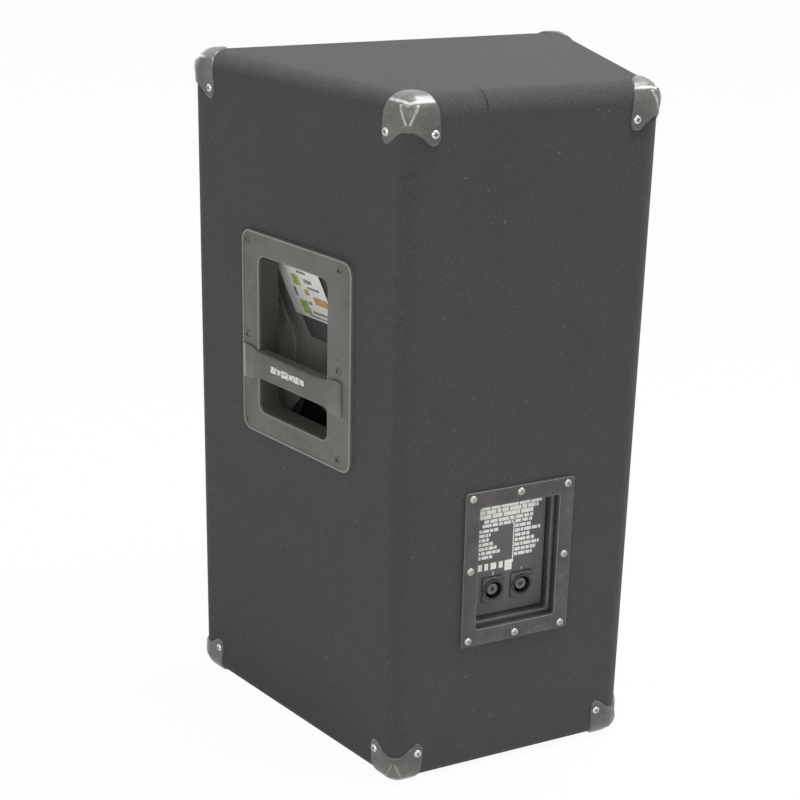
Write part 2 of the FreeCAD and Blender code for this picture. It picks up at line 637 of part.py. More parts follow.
CAP = ("0", "baffle_front + " + cap_centre, "woofer_z")
dust_shell = cut("dust_cap_shell", ball("dust_cap_outside", cap_sphere, CAP),
                 ball("dust_cap_inside", cap_sphere + " - cap_thick", CAP))
dust_reach = rod("dust_cap_reach", "cap_radius", cap_sphere,
                 ("0", "baffle_front + %s - %s" % (cap_level, cap_sphere), "woofer_z"), "y")
piece("woofer_dust_cap", common("woofer_dust_cap", dust_shell, dust_reach))

piece("woofer_voice_coil", ring("woofer_voice_coil", "coil_radius - coil_wall", "coil_radius", "cone_neck",
                                "coil_length", WOOFER, "y"))
ridges = []
spider_edge = "spider_seat + spider_lap"
steps = 12
for index in range(steps + 1):
    lift = "spider_wave" if index % 2 else "0"
    ridges.append(("coil_radius + (%s - coil_radius) * %d / %d" % (spider_edge, index, steps), lift))
spider_line = [(r, "spider_level - spider_thick - " + w) for r, w in ridges]
spider_back = [(r, "spider_level - " + w) for r, w in reversed(ridges)]
piece("woofer_spider", turned("woofer_spider", spider_line + spider_back, WOOFER, "y"))

plate_level = "basket_depth"
magnet_level = "basket_depth + top_plate"
back_level = magnet_level + " + magnet_thick"
piece("woofer_top_plate", ring("woofer_top_plate", "coil_radius + gap_play", "top_plate_radius", plate_level,
                               "top_plate", WOOFER, "y"))
piece("woofer_magnet", ring("woofer_magnet", "coil_radius + 3 * gap_play", "magnet_radius", magnet_level,
                            "magnet_thick", WOOFER, "y"))
pole_radius = "coil_radius - coil_wall - gap_play"
piece("woofer_back_plate", turned("woofer_back_plate", [
    ("vent_radius", plate_level), (pole_radius, plate_level), (pole_radius, back_level),
    ("magnet_radius - basket_wall", back_level),
    ("magnet_radius - basket_wall", back_level + " + back_plate"),
    ("vent_radius", back_level + " + back_plate")], WOOFER, "y"))

# ---------------------------------------------------------------- horn and compression driver


def pyramid(name, sections, carve=False):
    """A straight-sided tube through rectangles, each a width, a height and a level on the axis."""
    body = doc.addObject("PartDesign::Body", name)
    sketches = []
    for index, (width, tall, level) in enumerate(sections):
        sketch = sketch_on(body, "%s_section_%d" % (name, index), "XZ_Plane", rectangle(width, tall))
        sketch.setExpression("AttachmentOffset.Base.z", ex("-(%s)" % level))
        sketches.append(sketch)
    loft = body.newObject("PartDesign::AdditiveLoft", name + "_loft")
    loft.Profile = sketches[0]
    loft.Sections = sketches[1:]
    loft.Ruled = True
    return place(body, HORN)


flare_outside = pyramid("flare_outside", [
    ("mouth_width + 2 * horn_wall", "mouth_height + 2 * horn_wall", "-horn_flange"),
    ("waist_width + 2 * horn_wall", "waist_height + 2 * horn_wall", "horn_waist"),
    ("2 * (throat_radius + horn_wall)", "2 * (throat_radius + horn_wall)", "horn_depth")])
flare_inside = pyramid("flare_inside", [
    ("mouth_width", "mouth_height", "-horn_flange"), ("waist_width", "waist_height", "horn_waist"),
    ("1.6 * throat_radius", "1.6 * throat_radius", "horn_depth")])
flare_flange = slab("flare_flange", "y",
                    rectangle("mouth_width + 2 * horn_lip", "mouth_height + 2 * horn_lip", "0", "horn_z"),
                    "baffle_front - horn_flange", "horn_flange", "horn_flange * 2")
throat_disc = rod("throat_disc", "throat_flange", "horn_flange",
                  ("0", "baffle_front + horn_depth", "horn_z"), "y")
throat_bore = rod("throat_bore", "throat_radius", "3 * horn_flange",
                  ("0", "baffle_front + horn_depth", "horn_z"), "y")
driver_bolts = piece("driver_bolts", copies(
    "driver_bolts", screw_shape("bolt_shank", "bolt_head", "bolt_rise", "driver_bolt_reach"),
    [Placement(vec("%d * driver_bolt" % side, "baffle_front + horn_depth", "horn_z"), TURNS["-y"])
     for side in (-1, 1)]))
piece("horn_flare", cut("horn_flare", fuse("flare_solid", flare_outside, flare_flange, throat_disc),
                        flare_inside, throat_bore, horn_screws, driver_bolts))

driver_level = "horn_depth + horn_flange"
ferrite_level = driver_level + " + driver_plate"
ring_level = ferrite_level + " + driver_magnet"
head_level = ring_level + " + driver_top"
rim_level = head_level + " + dome_lift - dome_thick"
plug_radius = "dome_radius - dome_gap - dome_thick"
piece("driver_front_plate", cut("driver_front_plate", turned("driver_front_turned", [
    ("throat_radius", driver_level), ("throat_flange", driver_level), ("throat_flange", ferrite_level),
    (plug_radius, ferrite_level), (plug_radius, head_level), ("throat_radius", head_level)], HORN, "y"),
    driver_bolts))
piece("driver_magnet", ring("driver_magnet", "dome_radius + 3 * dome_gap", "driver_radius", ferrite_level,
                            "driver_magnet", HORN, "y"))
piece("driver_top_plate", turned("driver_top_plate", [
    ("dome_radius + 2 * dome_gap", ring_level), ("rear_cap_radius", ring_level),
    ("rear_cap_radius", head_level), ("rear_cap_radius - cap_wall", head_level),
    ("rear_cap_radius - cap_wall", rim_level),
    ("suspension_radius - 3 * dome_gap", rim_level), ("suspension_radius - 3 * dome_gap", head_level),
    ("dome_radius + 2 * dome_gap", head_level)], HORN, "y"))
dome_level = head_level + " + dome_lift"
DOME = ("0", "baffle_front + %s + dome_rise - dome_sphere" % dome_level, "horn_z")
dome_shell = cut("dome_shell", ball("dome_outside", "dome_sphere", DOME),
                 ball("dome_inside", "dome_sphere - dome_thick", DOME))
dome_reach = rod("dome_reach", "dome_radius", "dome_sphere",
                 ("0", "baffle_front + " + dome_level, "horn_z"), "y")
dome_cap = common("dome_cap", dome_shell, dome_reach)
dome_coil = ring("dome_coil", "dome_radius - dome_thick", "dome_radius", ring_level,
                 "driver_top + dome_lift", HORN, "y")
piece("driver_diaphragm", fuse("driver_diaphragm", dome_cap, dome_coil))
piece("driver_suspension", ring("driver_suspension", "dome_radius", "suspension_radius", rim_level,
                                "dome_thick", HORN, "y"))
piece("driver_rear_cap", turned("driver_rear_cap", [
    ("rear_cap_radius - cap_wall", head_level), ("rear_cap_radius", head_level),
    ("rear_cap_radius", head_level + " + rear_cap"), ("0", head_level + " + rear_cap"),
    ("0", head_level + " + rear_cap - cap_wall"),
    ("rear_cap_radius - cap_wall", head_level + " + rear_cap - cap_wall")], HORN, "y"))

# ---------------------------------------------------------------- rear connection plate

plate_blank = slab("plate_blank", "y", rectangle("terminal_width", "terminal_tall", "0", "terminal_z"),
                   "rear_face", "terminal_sheet", "terminal_sheet")
box_outline = rectangle("recess_width + 2 * recess_wall", "recess_tall + 2 * recess_wall",
                        "0", "terminal_z")
plate_box = slab("plate_box", "y", box_outline, "recess_floor - recess_wall",
                 "recess_depth + recess_wall", "recess_wall")
recess_top = slab("recess_top", "y", rectangle("recess_width", "recess_tall", "0", "terminal_z"),
                  "rear_face - recess_step", "2 * recess_depth", "recess_wall")
low_outline = rectangle("recess_width - 2 * step_inset", "recess_tall - 2 * step_inset",
                        "0", "terminal_z")
recess_low = slab("recess_low", "y", low_outline, "recess_floor", "2 * recess_depth", "recess_wall")
socket_z = "(terminal_z - socket_drop)"
socket_spots = ["-socket_spacing / 2", "socket_spacing / 2"]
socket_holes = [rod("socket_hole_%d" % number, "socket_radius", "4 * recess_wall",
                    (x, "recess_floor - 2 * recess_wall", socket_z), "y")
                for number, x in enumerate(socket_spots, start=1)]
pin = screw_shape("pin_shank", "pin_head", "pin_rise", "pin_reach")
pin_x = "(socket_flange_width / 2 - 1.2 * pin_head)"
pin_z = "(socket_flange_tall / 2 - 1.2 * pin_head)"
pin_frames = []
for x in socket_spots:
    for sign in (-1, 1):
        spot = vec("%s + %d * %s" % (x, sign, pin_x), "recess_floor + socket_flange",
                   "%s - %d * %s" % (socket_z, sign, pin_z))
        pin_frames.append(Placement(spot, TURNS["y"]))
socket_screws = piece("socket_screws", copies("socket_screws", pin, pin_frames))
piece("terminal_plate", cut("terminal_plate", fuse("plate_solid", plate_blank, plate_box), recess_top,
                            recess_low, terminal_screws, socket_screws, *socket_holes))

blades = []
for number, x in enumerate(socket_spots, start=1):
    at = (x, "recess_floor", socket_z)
    flange = slab("socket_flange_%d" % number, "y",
                  rectangle("socket_flange_width", "socket_flange_tall", x, socket_z),
                  "recess_floor", "socket_flange", "socket_flange")
    barrel = rod("socket_barrel_%d" % number, "socket_radius", "socket_depth + socket_flange + socket_lip",
                 (x, "recess_floor - socket_depth", socket_z), "y")
    slot = ring("socket_slot_%d" % number, "socket_core", "socket_slot", "-socket_depth + socket_flange",
                "2 * socket_depth", at, "y")
    core_top = rod("socket_core_top_%d" % number, "socket_slot", "socket_depth", at, "y")
    pair = []
    for across, up in ((-1, 0), (1, 0), (0, -1), (0, 1)):
        middle = "((socket_core + socket_slot) / 2)"
        spot = ("%s + %d * %s - blade / 2" % (x, across, middle), "recess_floor - socket_depth - blade_tail",
                "%s + %d * %s - blade / 2" % (socket_z, up, middle))
        pair.append(block("blade_%d_%d_%d" % (number, across + 1, up + 1),
                          ("blade", "blade_length", "blade"), spot))
    blades += pair
    piece("socket_%d" % number, cut("socket_%d" % number, fuse("socket_solid_%d" % number, flange, barrel),
                                    slot, core_top, socket_screws, *pair))
piece("socket_contacts", group("socket_contacts", *blades))

# ---------------------------------------------------------------- carrying handles

handle_plate = slab("handle_plate", "x", rectangle("handle_width", "handle_tall", "handle_shift", "handle_z"),
                    "0", "handle_sheet", "handle_round")
handle_neck = slab("handle_neck", "x",
                   rectangle("window_width + 2 * handle_wall", "window_tall + 2 * handle_wall",
                             "handle_shift", "handle_z"),
                   "-(shell + handle_wall)", "shell + handle_wall", "window_round + handle_wall")
handle_window = slab("handle_window", "x",
                     rectangle("window_width", "window_tall", "handle_shift", "handle_z"),
                     "-3 * shell", "6 * shell", "window_round")
frame_blank = place_on_side(cut("frame_blank", fuse("frame_solid", handle_plate, handle_neck), handle_window))
frame_right = piece("handle_frame_right", cut("handle_frame_right", frame_blank, handle_screws_right))
piece("handle_frame_left", mirror("handle_frame_left", frame_right))

grip_z = "(handle_z - grip_drop)"
grip_bar = slab("grip_bar", "x", rectangle("window_width", "grip_tall", "handle_shift", grip_z),
                "handle_sheet + tab_thick - grip_thick", "grip_thick")
grip_tabs = slab("grip_tabs", "x",
                 rectangle("window_width + 2 * grip_tab", "grip_tall", "handle_shift", grip_z),
                 "handle_sheet", "tab_thick", "tab_thick * 2")
grip = piece("handle_grip_right", place_on_side(fuse("handle_grip_right", grip_bar, grip_tabs)))
piece("handle_grip_left", mirror("handle_grip_left", grip))

# ---------------------------------------------------------------- pole socket in the base

POLE = ("0", "pole_y", "corner_wall")
piece("pole_socket", cut("pole_socket", turned("pole_socket_turned", [
    ("pole_bore", "-pole_flange_thick"), ("pole_flange", "-pole_flange_thick"), ("pole_flange", "0"),
    ("pole_bore + pole_wall", "0"), ("pole_bore + pole_wall", "pole_depth + pole_wall"),
    ("0", "pole_depth + pole_wall"), ("0", "pole_depth"), ("pole_bore", "pole_depth")], POLE), pole_screws))

# ---------------------------------------------------------------- crossover on the base board

pcb_low = "(floor_in + pcb_lift)"
pcb_top = "(floor_in + pcb_lift + pcb_thick)"
board = slab("board_blank", "z", rectangle("pcb_width", "pcb_depth", "0", "pcb_shift"), pcb_low,
             "pcb_thick")
piece("crossover_board", cut("crossover_board", board, board_screws))
posts = []
for index, frame in enumerate(board_frames):
    across, deep = ((-1, -1), (-1, 1), (1, -1), (1, 1))[index]
    posts.append(rod("pcb_post_%d" % index, "pcb_post", "pcb_lift",
                     ("%d * (pcb_width / 2 - pcb_margin)" % across,
                      "pcb_shift + %d * (pcb_depth / 2 - pcb_margin)" % deep, "floor_in")))
piece("crossover_fixings", group("crossover_fixings", board_screws,
                                 cut("pcb_posts", group("pcb_post_group", *posts), board_screws)))
coil_y = "pcb_shift - pcb_depth / 5"
parts_on_board = [
    ring("big_coil", "coil_core", "big_coil", "0", "big_coil_tall", ("-pcb_width / 4", coil_y, pcb_top)),
    ring("small_coil", "coil_core", "small_coil", "0", "small_coil_tall", ("pcb_width / 5", coil_y, pcb_top)),
    block("resistor", ("resistor_width", "resistor_length", "resistor_width"),
          ("pcb_width / 2 - 2.5 * resistor_width", "pcb_shift - resistor_length / 2", pcb_top))]
for index in (-1, 0, 1):
    spot = ("film_spacing * %d" % index, "pcb_shift + pcb_depth / 2 - film_length - pcb_post",
            pcb_top + " + film_radius")
    parts_on_board.append(rod("film_%d" % (index + 1), "film_radius", "film_length", spot, "y"))
piece("crossover_components", group("crossover_components", *parts_on_board))

# ---------------------------------------------------------------- wadding and inspection card

inside = plan_prism("inside", "baffle_back", "rear_in", "floor_in", "ceiling_in")
lean = "tan(pad_lean * 1 deg)"
pad_low = "(corner_wall + pad_low)"
pad_meet = "(%s + pad_foot / %s)" % (pad_low, lean)
pad_prism = place_on_side(slab("pad_prism", "y", [
    ("-shell", pad_meet), ("-(shell + pad_foot)", pad_low), ("-(shell + pad_foot + pad_thick)", pad_low),
    ("-(shell + pad_head)", pad_low + " + pad_tall"), ("-shell", pad_low + " + pad_tall")],
    "pad_start", "pad_end - pad_start"))
side_pad = common("side_pad", pad_prism, inside)
roof_pad = plan_prism("roof_pad", "baffle_back + batten", "rear_in", "ceiling_in - roof_wadding",
                      "ceiling_in")
piece("wadding", group("wadding", side_pad, mirror("side_pad_left", side_pad), roof_pad))

card_low = "(corner_wall + card_low)"
card_x = "(-(shell + pad_foot) + (%s - %s) * %s)"
low_x = card_x % (card_low, pad_low, lean)
high_x = card_x % (card_low + " + card_tall", pad_low, lean)
piece("inspection_card", place_on_side(slab("inspection_card", "y", [
    (low_x, card_low), (low_x + " + card_thick", card_low),
    (high_x + " + card_thick", card_low + " + card_tall"),
    (high_x, card_low + " + card_tall")], "card_start", "card_length")))

# ---------------------------------------------------------------- inner wires

lug_radius = "(woofer_hole - fit_gap - (woofer_hole - fit_gap - basket_floor) * lug_level / basket_depth)"
lug = block("lug_block", ("lug", "lug", "lug"),
            ("-(%s + lug - basket_wall / 3)" % lug_radius, "baffle_front + lug_level", "woofer_z - lug / 2"))
piece("woofer_terminals", cut("woofer_terminals", lug, basket_shell))


def bend_route(points):
    """Straight runs joined by tangent arcs, each arc as large as its two runs allow."""
    edges = []
    start = points[0]
    for before, corner, after in zip(points, points[1:], points[2:]):
        back, ahead = before - corner, after - corner
        turn = math.pi - back.getAngle(ahead)
        run = 0.45 * min(back.Length, ahead.Length)
        radius = run / math.tan(turn / 2)
        back.normalize()
        ahead.normalize()
        first, last = corner + back * run, corner + ahead * run
        middle = back + ahead
        middle.normalize()
        crown = corner + middle * (radius / math.cos(turn / 2) - radius)
        print("a bend of %.1f mm radius" % radius)
        edges.append(Part.LineSegment(start, first).toShape())
        edges.append(Part.Arc(first, crown, last).toShape())
        start = last
    edges.append(Part.LineSegment(start, points[-1]).toShape())
    return Part.Wire(edges)


def cable(label, points):
    """A round cable along its route, its volume checked against its section and length."""
    path = bend_route(points)
    radius = num("wire_radius")
    section = Part.Wire(Part.makeCircle(radius, points[0], points[1] - points[0]))
    tube = path.makePipeShell([section], True, True)
    expected = math.pi * radius ** 2 * path.Length
    if abs(tube.Volume - expected) > 0.01 * expected:
        raise RuntimeError("%s has %.0f mm3, and its route gives %.0f" % (label, tube.Volume, expected))
    result = doc.addObject("Part::Feature", label)
    result.Shape = tube
    return result


# The horn's cable climbs the right side wall from the crossover, hangs away from it beside the
# handle window and crosses over to the driver. Its route is given in the side frame.
wall_route = [
    (-108, 85, num(pcb_top)), (-108, 85, 60), (-98, 62, 92), (-76, 34, 122), (-52, 2, 152), (-35, -32, 192),
    (-28, -64, 242), (-27, -80, 296), (-28, -84, 346), (-40, -84, 376), (-57, -80, 391), (-67, -75, 410),
    (-67, -74, 438), (-55, -80, 468), (-43, -83, 506), (-38, -84, 556), (-44, -84, 606), (-62, -84, 650),
    (-96, -70, 680), (-134, -24, 680)]
horn_end = Vector(18, num("baffle_front + %s + rear_cap" % head_level), num("horn_z") + 18)
horn_route = [SIDE.multVec(Vector(*point)) for point in wall_route]
horn_route += [Vector(34, 60, 652), Vector(20, 86, 610), horn_end + Vector(0, 24, 0), horn_end]

# the woofer's cable leaves the other end of the crossover for the lug on the basket
lug_end = Vector(-num("%s + lug - basket_wall / 3" % lug_radius), num("baffle_front + lug_level + lug / 2"),
                 num("woofer_z"))
woofer_route = [Vector(-72, 62, num(pcb_top)), Vector(-72, 62, 60), Vector(-90, 40, 88), Vector(-114, 8, 118),
                Vector(-134, -24, 154), Vector(-152, -44, 188), lug_end + Vector(-22, 0, 0), lug_end]

# two short cables join the rear sockets to the crossover
input_routes = []
for x in socket_spots:
    start = vec(x, "recess_floor - socket_depth - blade_tail",
                socket_z + " - (socket_core + socket_slot) / 2")
    foot = Vector(start.x / 4, num("pcb_shift") - 8, num(pcb_top))
    input_routes.append([start, start + Vector(0, -16, 0), start + Vector(0, -30, -18),
                         Vector(start.x * 0.7, start.y - 38, start.z - 56),
                         Vector(start.x / 2, foot.y + 3, 110), Vector(foot.x, foot.y, 70), foot])
cables = [cable("horn_cable", horn_route), cable("woofer_cable", woofer_route)]
cables += [cable("input_cable_%d" % number, route) for number, route in enumerate(input_routes, start=1)]
piece("inner_wires", group("inner_wires", *cables))

# ---------------------------------------------------------------- check and write

doc.recompute()
for obj in doc.Objects:
    if "Invalid" in obj.State or "Error" in obj.State:
        raise RuntimeError("%s failed: %s" % (obj.Name, obj.State))
labels = [obj.Label for obj in PIECES]
if len(set(labels)) != len(labels):
    raise RuntimeError("two sub-parts share a name")
for obj in PIECES:
    if obj.Shape.isNull() or not obj.Shape.isValid() or not obj.Shape.Solids:
        raise RuntimeError("%s has no valid shape" % obj.Label)
for obj in PIECES:
    obj.Shape.exportStep("parts/%s.step" % obj.Label)
print("%d sub-parts, %d solids" % (len(PIECES), sum(len(obj.Shape.Solids) for obj in PIECES)))
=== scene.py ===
import math

import bmesh
import bpy
from mathutils import Matrix, Vector, noise


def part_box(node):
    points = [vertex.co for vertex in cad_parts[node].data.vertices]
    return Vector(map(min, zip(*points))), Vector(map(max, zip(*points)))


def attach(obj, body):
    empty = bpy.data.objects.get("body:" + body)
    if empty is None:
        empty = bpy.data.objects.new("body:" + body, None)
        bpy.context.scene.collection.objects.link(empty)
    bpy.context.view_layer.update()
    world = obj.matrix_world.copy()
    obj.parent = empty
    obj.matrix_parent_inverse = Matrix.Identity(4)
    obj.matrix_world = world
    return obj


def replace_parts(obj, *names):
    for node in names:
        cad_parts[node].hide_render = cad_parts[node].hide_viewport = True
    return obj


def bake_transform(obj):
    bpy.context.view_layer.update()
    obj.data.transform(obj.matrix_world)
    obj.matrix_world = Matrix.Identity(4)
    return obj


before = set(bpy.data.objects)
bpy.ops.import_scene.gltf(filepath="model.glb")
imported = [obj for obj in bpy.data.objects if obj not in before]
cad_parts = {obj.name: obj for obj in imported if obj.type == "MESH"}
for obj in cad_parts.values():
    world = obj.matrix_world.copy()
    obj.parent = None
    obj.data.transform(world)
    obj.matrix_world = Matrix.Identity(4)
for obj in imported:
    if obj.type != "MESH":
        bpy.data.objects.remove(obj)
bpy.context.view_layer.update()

# ---------------------------------------------------------------- camera, lamps and floor
# The cabinet stands on a plain pale floor and is seen from above its right rear edge. A strong
# lamp hangs overhead, three weaker ones stand round the cabinet, and the world fills in.

scene = bpy.context.scene
scene.view_settings.view_transform = "Standard"
eye = Vector((0.831, 1.580, 1.0302))
forward = Vector((-0.4126, -0.8423, -0.347)).normalized()
roughly_up = Vector((-0.132, -0.321, 0.938))
across = forward.cross(roughly_up).normalized()
camera_turn = Matrix((across, across.cross(forward), -forward)).transposed()
camera_data = bpy.data.cameras.new("camera")
camera_data.lens = 75.56
camera_data.sensor_width = 36
camera_data.clip_start = 0.05
camera = bpy.data.objects.new("camera", camera_data)
camera.matrix_world = Matrix.Translation(eye) @ camera_turn.to_4x4()
scene.collection.objects.link(camera)
scene.camera = camera


def lamp(name, power, size, place, target):
    """A square area lamp that looks from its place at a target."""
    light = bpy.data.lights.new(name, "AREA")
    light.energy = power
    light.size = size
    holder = bpy.data.objects.new(name, light)
    turn = (Vector(target) - Vector(place)).to_track_quat("-Z", "Y")
    holder.matrix_world = Matrix.Translation(place) @ turn.to_matrix().to_4x4()
    scene.collection.objects.link(holder)


lamp("overhead_lamp", 89, 1.3, (-0.8, 0.35, 3.1), (0, 0, 0.6))
lamp("side_lamp", 10, 1.6, (2.6, 0.6, 1.5), (0.15, 0, 0.4))
lamp("corner_lamp", 14, 0.9, (1.9, 2.5, 1.3), (0.15, 0.1, 0.4))
lamp("front_lamp", 12, 1.6, (0.6, -3.2, 1.6), (0, -0.1, 0.4))


def add_node(tree, kind, feeds=None, **settings):
    """Adds a node with its settings; each input is fed another node's output or a plain value."""
    made = tree.nodes.new(kind)
    for name, value in settings.items():
        setattr(made, name, value)
    for key, value in (feeds or {}).items():
        if isinstance(value, bpy.types.NodeSocket):
            tree.links.new(value, made.inputs[key])
        else:
            made.inputs[key].default_value = value
    return made


def white_to_the_eye(tree, shader, share):
    """Mixes a plain white over a shader for the rays that show a background."""
    rays = add_node(tree, "ShaderNodeLightPath").outputs
    shown = rays["Is Camera Ray"]
    for other in ("Is Glossy Ray", "Is Transmission Ray"):
        either = add_node(tree, "ShaderNodeMath", {0: shown, 1: rays[other]}, operation="MAXIMUM")
        shown = either.outputs[0]
    scaled = add_node(tree, "ShaderNodeMath", {0: shown, 1: share}, operation="MULTIPLY")
    kind = "ShaderNodeEmission" if share < 1 else "ShaderNodeBackground"
    white = add_node(tree, kind, {"Color": (1, 1, 1, 1), "Strength": 1.0})
    feeds = {0: scaled.outputs[0], 1: shader, 2: white.outputs[0]}
    return add_node(tree, "ShaderNodeMixShader", feeds).outputs[0]


world = bpy.data.worlds.new("studio")
world.use_nodes = True
scene.world = world
room_tree = world.node_tree
room = room_tree.nodes["Background"]
room.inputs["Color"].default_value = (1, 1, 1, 1)
room.inputs["Strength"].default_value = 0.36
room_tree.links.new(white_to_the_eye(room_tree, room.outputs[0], 1),
                    room_tree.nodes["World Output"].inputs["Surface"])

floor_half = 16
floor_white = 0.96
floor_corners = [(-floor_half, -floor_half, 0), (floor_half, -floor_half, 0),
                 (floor_half, floor_half, 0), (-floor_half, floor_half, 0)]
floor_mesh = bpy.data.meshes.new("floor")
floor_mesh.from_pydata(floor_corners, [], [(0, 1, 2, 3)])
floor = bpy.data.objects.new("floor", floor_mesh)
scene.collection.objects.link(floor)
floor_paint = bpy.data.materials.new("floor_paint")
floor_paint.use_nodes = True
floor_tree = floor_paint.node_tree
floor_shader = floor_tree.nodes["Principled BSDF"]
floor_shader.inputs["Base Color"].default_value = (0.86, 0.86, 0.86, 1)
floor_shader.inputs["Roughness"].default_value = 0.9
floor_shader.inputs["Specular IOR Level"].default_value = 0
floor_tree.links.new(white_to_the_eye(floor_tree, floor_shader.outputs[0], floor_white),
                     floor_tree.nodes["Material Output"].inputs["Surface"])
floor_mesh.materials.append(floor_paint)

# ---------------------------------------------------------------- felt covering
# The box is wrapped in needle felt about 3 mm thick, glued on and turned over every edge. Its
# fibres lie in all directions, it has caught a little pale lint, and one seam crosses the top.


def rgb(red, green, blue):
    """A colour given in display values from 0 to 255, as the shader's linear numbers."""
    return tuple(((value / 255 + 0.055) / 1.055) ** 2.4 if value > 10 else value / 255 / 12.92
                 for value in (red, green, blue))


class Finish:
    """A material whose colour, roughness and bump are made from patterns in Object coordinates."""

    def __init__(self, name, roughness, metallic=0.0, specular=0.5):
        self.material = bpy.data.materials.new(name)
        self.material.use_nodes = True
        self.tree = self.material.node_tree
        self.shader = self.tree.nodes["Principled BSDF"]
        self.shader.inputs["Roughness"].default_value = roughness
        self.shader.inputs["Metallic"].default_value = metallic
        self.shader.inputs["Specular IOR Level"].default_value = specular
        self.place = self.node("TexCoord").outputs["Object"]

    def node(self, kind, feeds=None, **settings):
        return add_node(self.tree, "ShaderNode" + kind, feeds, **settings)

    def stretched(self, scale, turn=(0, 0, 0)):
        """The place, scaled and turned, for a grain that runs one way."""
        feeds = {"Vector": self.place, "Scale": scale, "Rotation": turn}
        return self.node("Mapping", feeds).outputs[0]

    def along(self, axis):
        return self.node("SeparateXYZ", {0: self.place}).outputs[axis]

    def painted_light_and_wear(self):
        """The painted light and wear kept in the mesh: 1 for painted highlight and wear, -1 for
        painted shade, and less for less.
        """
        return self.node("Attribute", attribute_name="light_and_wear").outputs["Fac"]

    def noise(self, scale, detail=3.0, place=None, roughness=0.55):
        feeds = {"Vector": place or self.place, "Scale": scale, "Detail": detail,
                 "Roughness": roughness}
        return self.node("TexNoise", feeds).outputs["Fac"]

    def bands(self, scale, direction="X"):
        feeds = {"Vector": self.place, "Scale": scale}
        settings = {"wave_type": "BANDS", "bands_direction": direction}
        return self.node("TexWave", feeds, **settings).outputs["Fac"]

    def cells(self, scale, **settings):
        feeds = {"Vector": self.place, "Scale": scale}
        return self.node("TexVoronoi", feeds, **settings).outputs["Distance"]

    def maths(self, operation, first, second=0):
        return self.node("Math", {0: first, 1: second}, operation=operation).outputs[0]

    def spread(self, pattern, low, high, to_low=0.0, to_high=1.0):
        """A pattern's values from low to high, drawn out to a new range."""
        feeds = {"Value": pattern, "From Min": low, "From Max": high,
                 "To Min": to_low, "To Max": to_high}
        return self.node("MapRange", feeds).outputs[0]

    def blend(self, share, first, second):
        """From the first colour to the second, each linear numbers or a node's output."""
        mix = self.node("Mix", {"Factor": share}, data_type="RGBA")
        sockets = [socket for socket in mix.inputs if socket.type == "RGBA"]
        for socket, colour in zip(sockets, (first, second)):
            if isinstance(colour, bpy.types.NodeSocket):
                self.tree.links.new(colour, socket)
            else:
                socket.default_value = (*colour, 1)
        return next(socket for socket in mix.outputs if socket.type == "RGBA")

    def tones(self, pattern, dark, light, low=0.35, high=0.65):
        """Two tones in display values that a pattern drifts between."""
        return self.blend(self.spread(pattern, low, high), rgb(*dark), rgb(*light))

    def colour(self, output):
        self.tree.links.new(output, self.shader.inputs["Base Color"])

    def rough(self, output):
        self.tree.links.new(output, self.shader.inputs["Roughness"])

    def bump(self, height, depth, strength=1.0):
        """A bump of the given depth in metres over the height pattern, added to any made before."""
        feeds = {"Height": height, "Distance": depth, "Strength": strength}
        before = self.shader.inputs["Normal"].links
        if before:
            feeds["Normal"] = before[0].from_socket
        bump = self.node("Bump", feeds)
        self.tree.links.new(bump.outputs[0], self.shader.inputs["Normal"])


felt = Finish("needle_felt", 0.95, specular=0.15)
fibres = felt.noise(620, 5, roughness=0.7)
strands_up = felt.noise(260, 4, felt.stretched((1, 1, 6), (0.5, 0.3, 0.2)))
strands_across = felt.noise(260, 4, felt.stretched((6, 5, 1), (0.2, 0.6, 0.4)))
tangle = felt.maths("MULTIPLY", felt.maths("ADD", strands_up, strands_across), 0.5)
pile = felt.maths("ADD", felt.maths("MULTIPLY", fibres, 0.6), felt.maths("MULTIPLY", tangle, 0.4))
felt_grey = felt.tones(pile, (58, 57, 57), (92, 91, 92), 0.36, 0.64)
handled = felt.spread(felt.noise(14, 3), 0.35, 0.7, 0, 0.35)
felt_worn = felt.blend(handled, felt_grey, rgb(70, 68, 69))
lint_spots = felt.spread(felt.noise(190, 1.0), 0.77, 0.80)
felt_linted = felt.blend(lint_spots, felt_worn, rgb(106, 106, 104))

# The seam runs along the top near the right and just over the rear edge.
seam_place = 0.056
seam_half, seam_fade = 0.0004, 0.0012
seam_foot = felt.spread(felt.along("Z"), 0.731, 0.737)
seam_front = felt.spread(felt.along("Y"), 0.1, 0.15)
seam_wander = felt.spread(felt.noise(30, 2), 0.3, 0.7, -0.0008, 0.0008)
seam_x = felt.maths("ADD", felt.along("X"), seam_wander)
off_seam = felt.maths("ABSOLUTE", felt.maths("SUBTRACT", seam_x, seam_place))
near_seam = felt.spread(off_seam, seam_half, seam_fade, 1, 0)
seam = felt.maths("MULTIPLY", near_seam, felt.maths("MULTIPLY", seam_foot, seam_front))
felt.colour(felt.blend(felt.maths("MULTIPLY", seam, 0.7), felt_linted, rgb(30, 29, 29)))
felt.bump(pile, 0.0016, 0.9)
felt.bump(felt.noise(55, 2), 0.0006, 0.5)
felt.shader.inputs["Sheen Weight"].default_value = 0.14
felt.shader.inputs["Sheen Roughness"].default_value = 0.45
felt.shader.inputs["Sheen Tint"].default_value = (0.8, 0.8, 0.82, 1)


def new_tree(name, inputs):
    """A geometry tree with the named inputs beside its geometry, and the sockets that give them."""
    tree = bpy.data.node_groups.new(name, "GeometryNodeTree")
    for label, kind in {"Geometry": "Geometry", **inputs}.items():
        tree.interface.new_socket(label, in_out="INPUT", socket_type="NodeSocket" + kind)
    tree.interface.new_socket("Geometry", in_out="OUTPUT", socket_type="NodeSocketGeometry")
    return tree, tree.nodes.new("NodeGroupInput").outputs


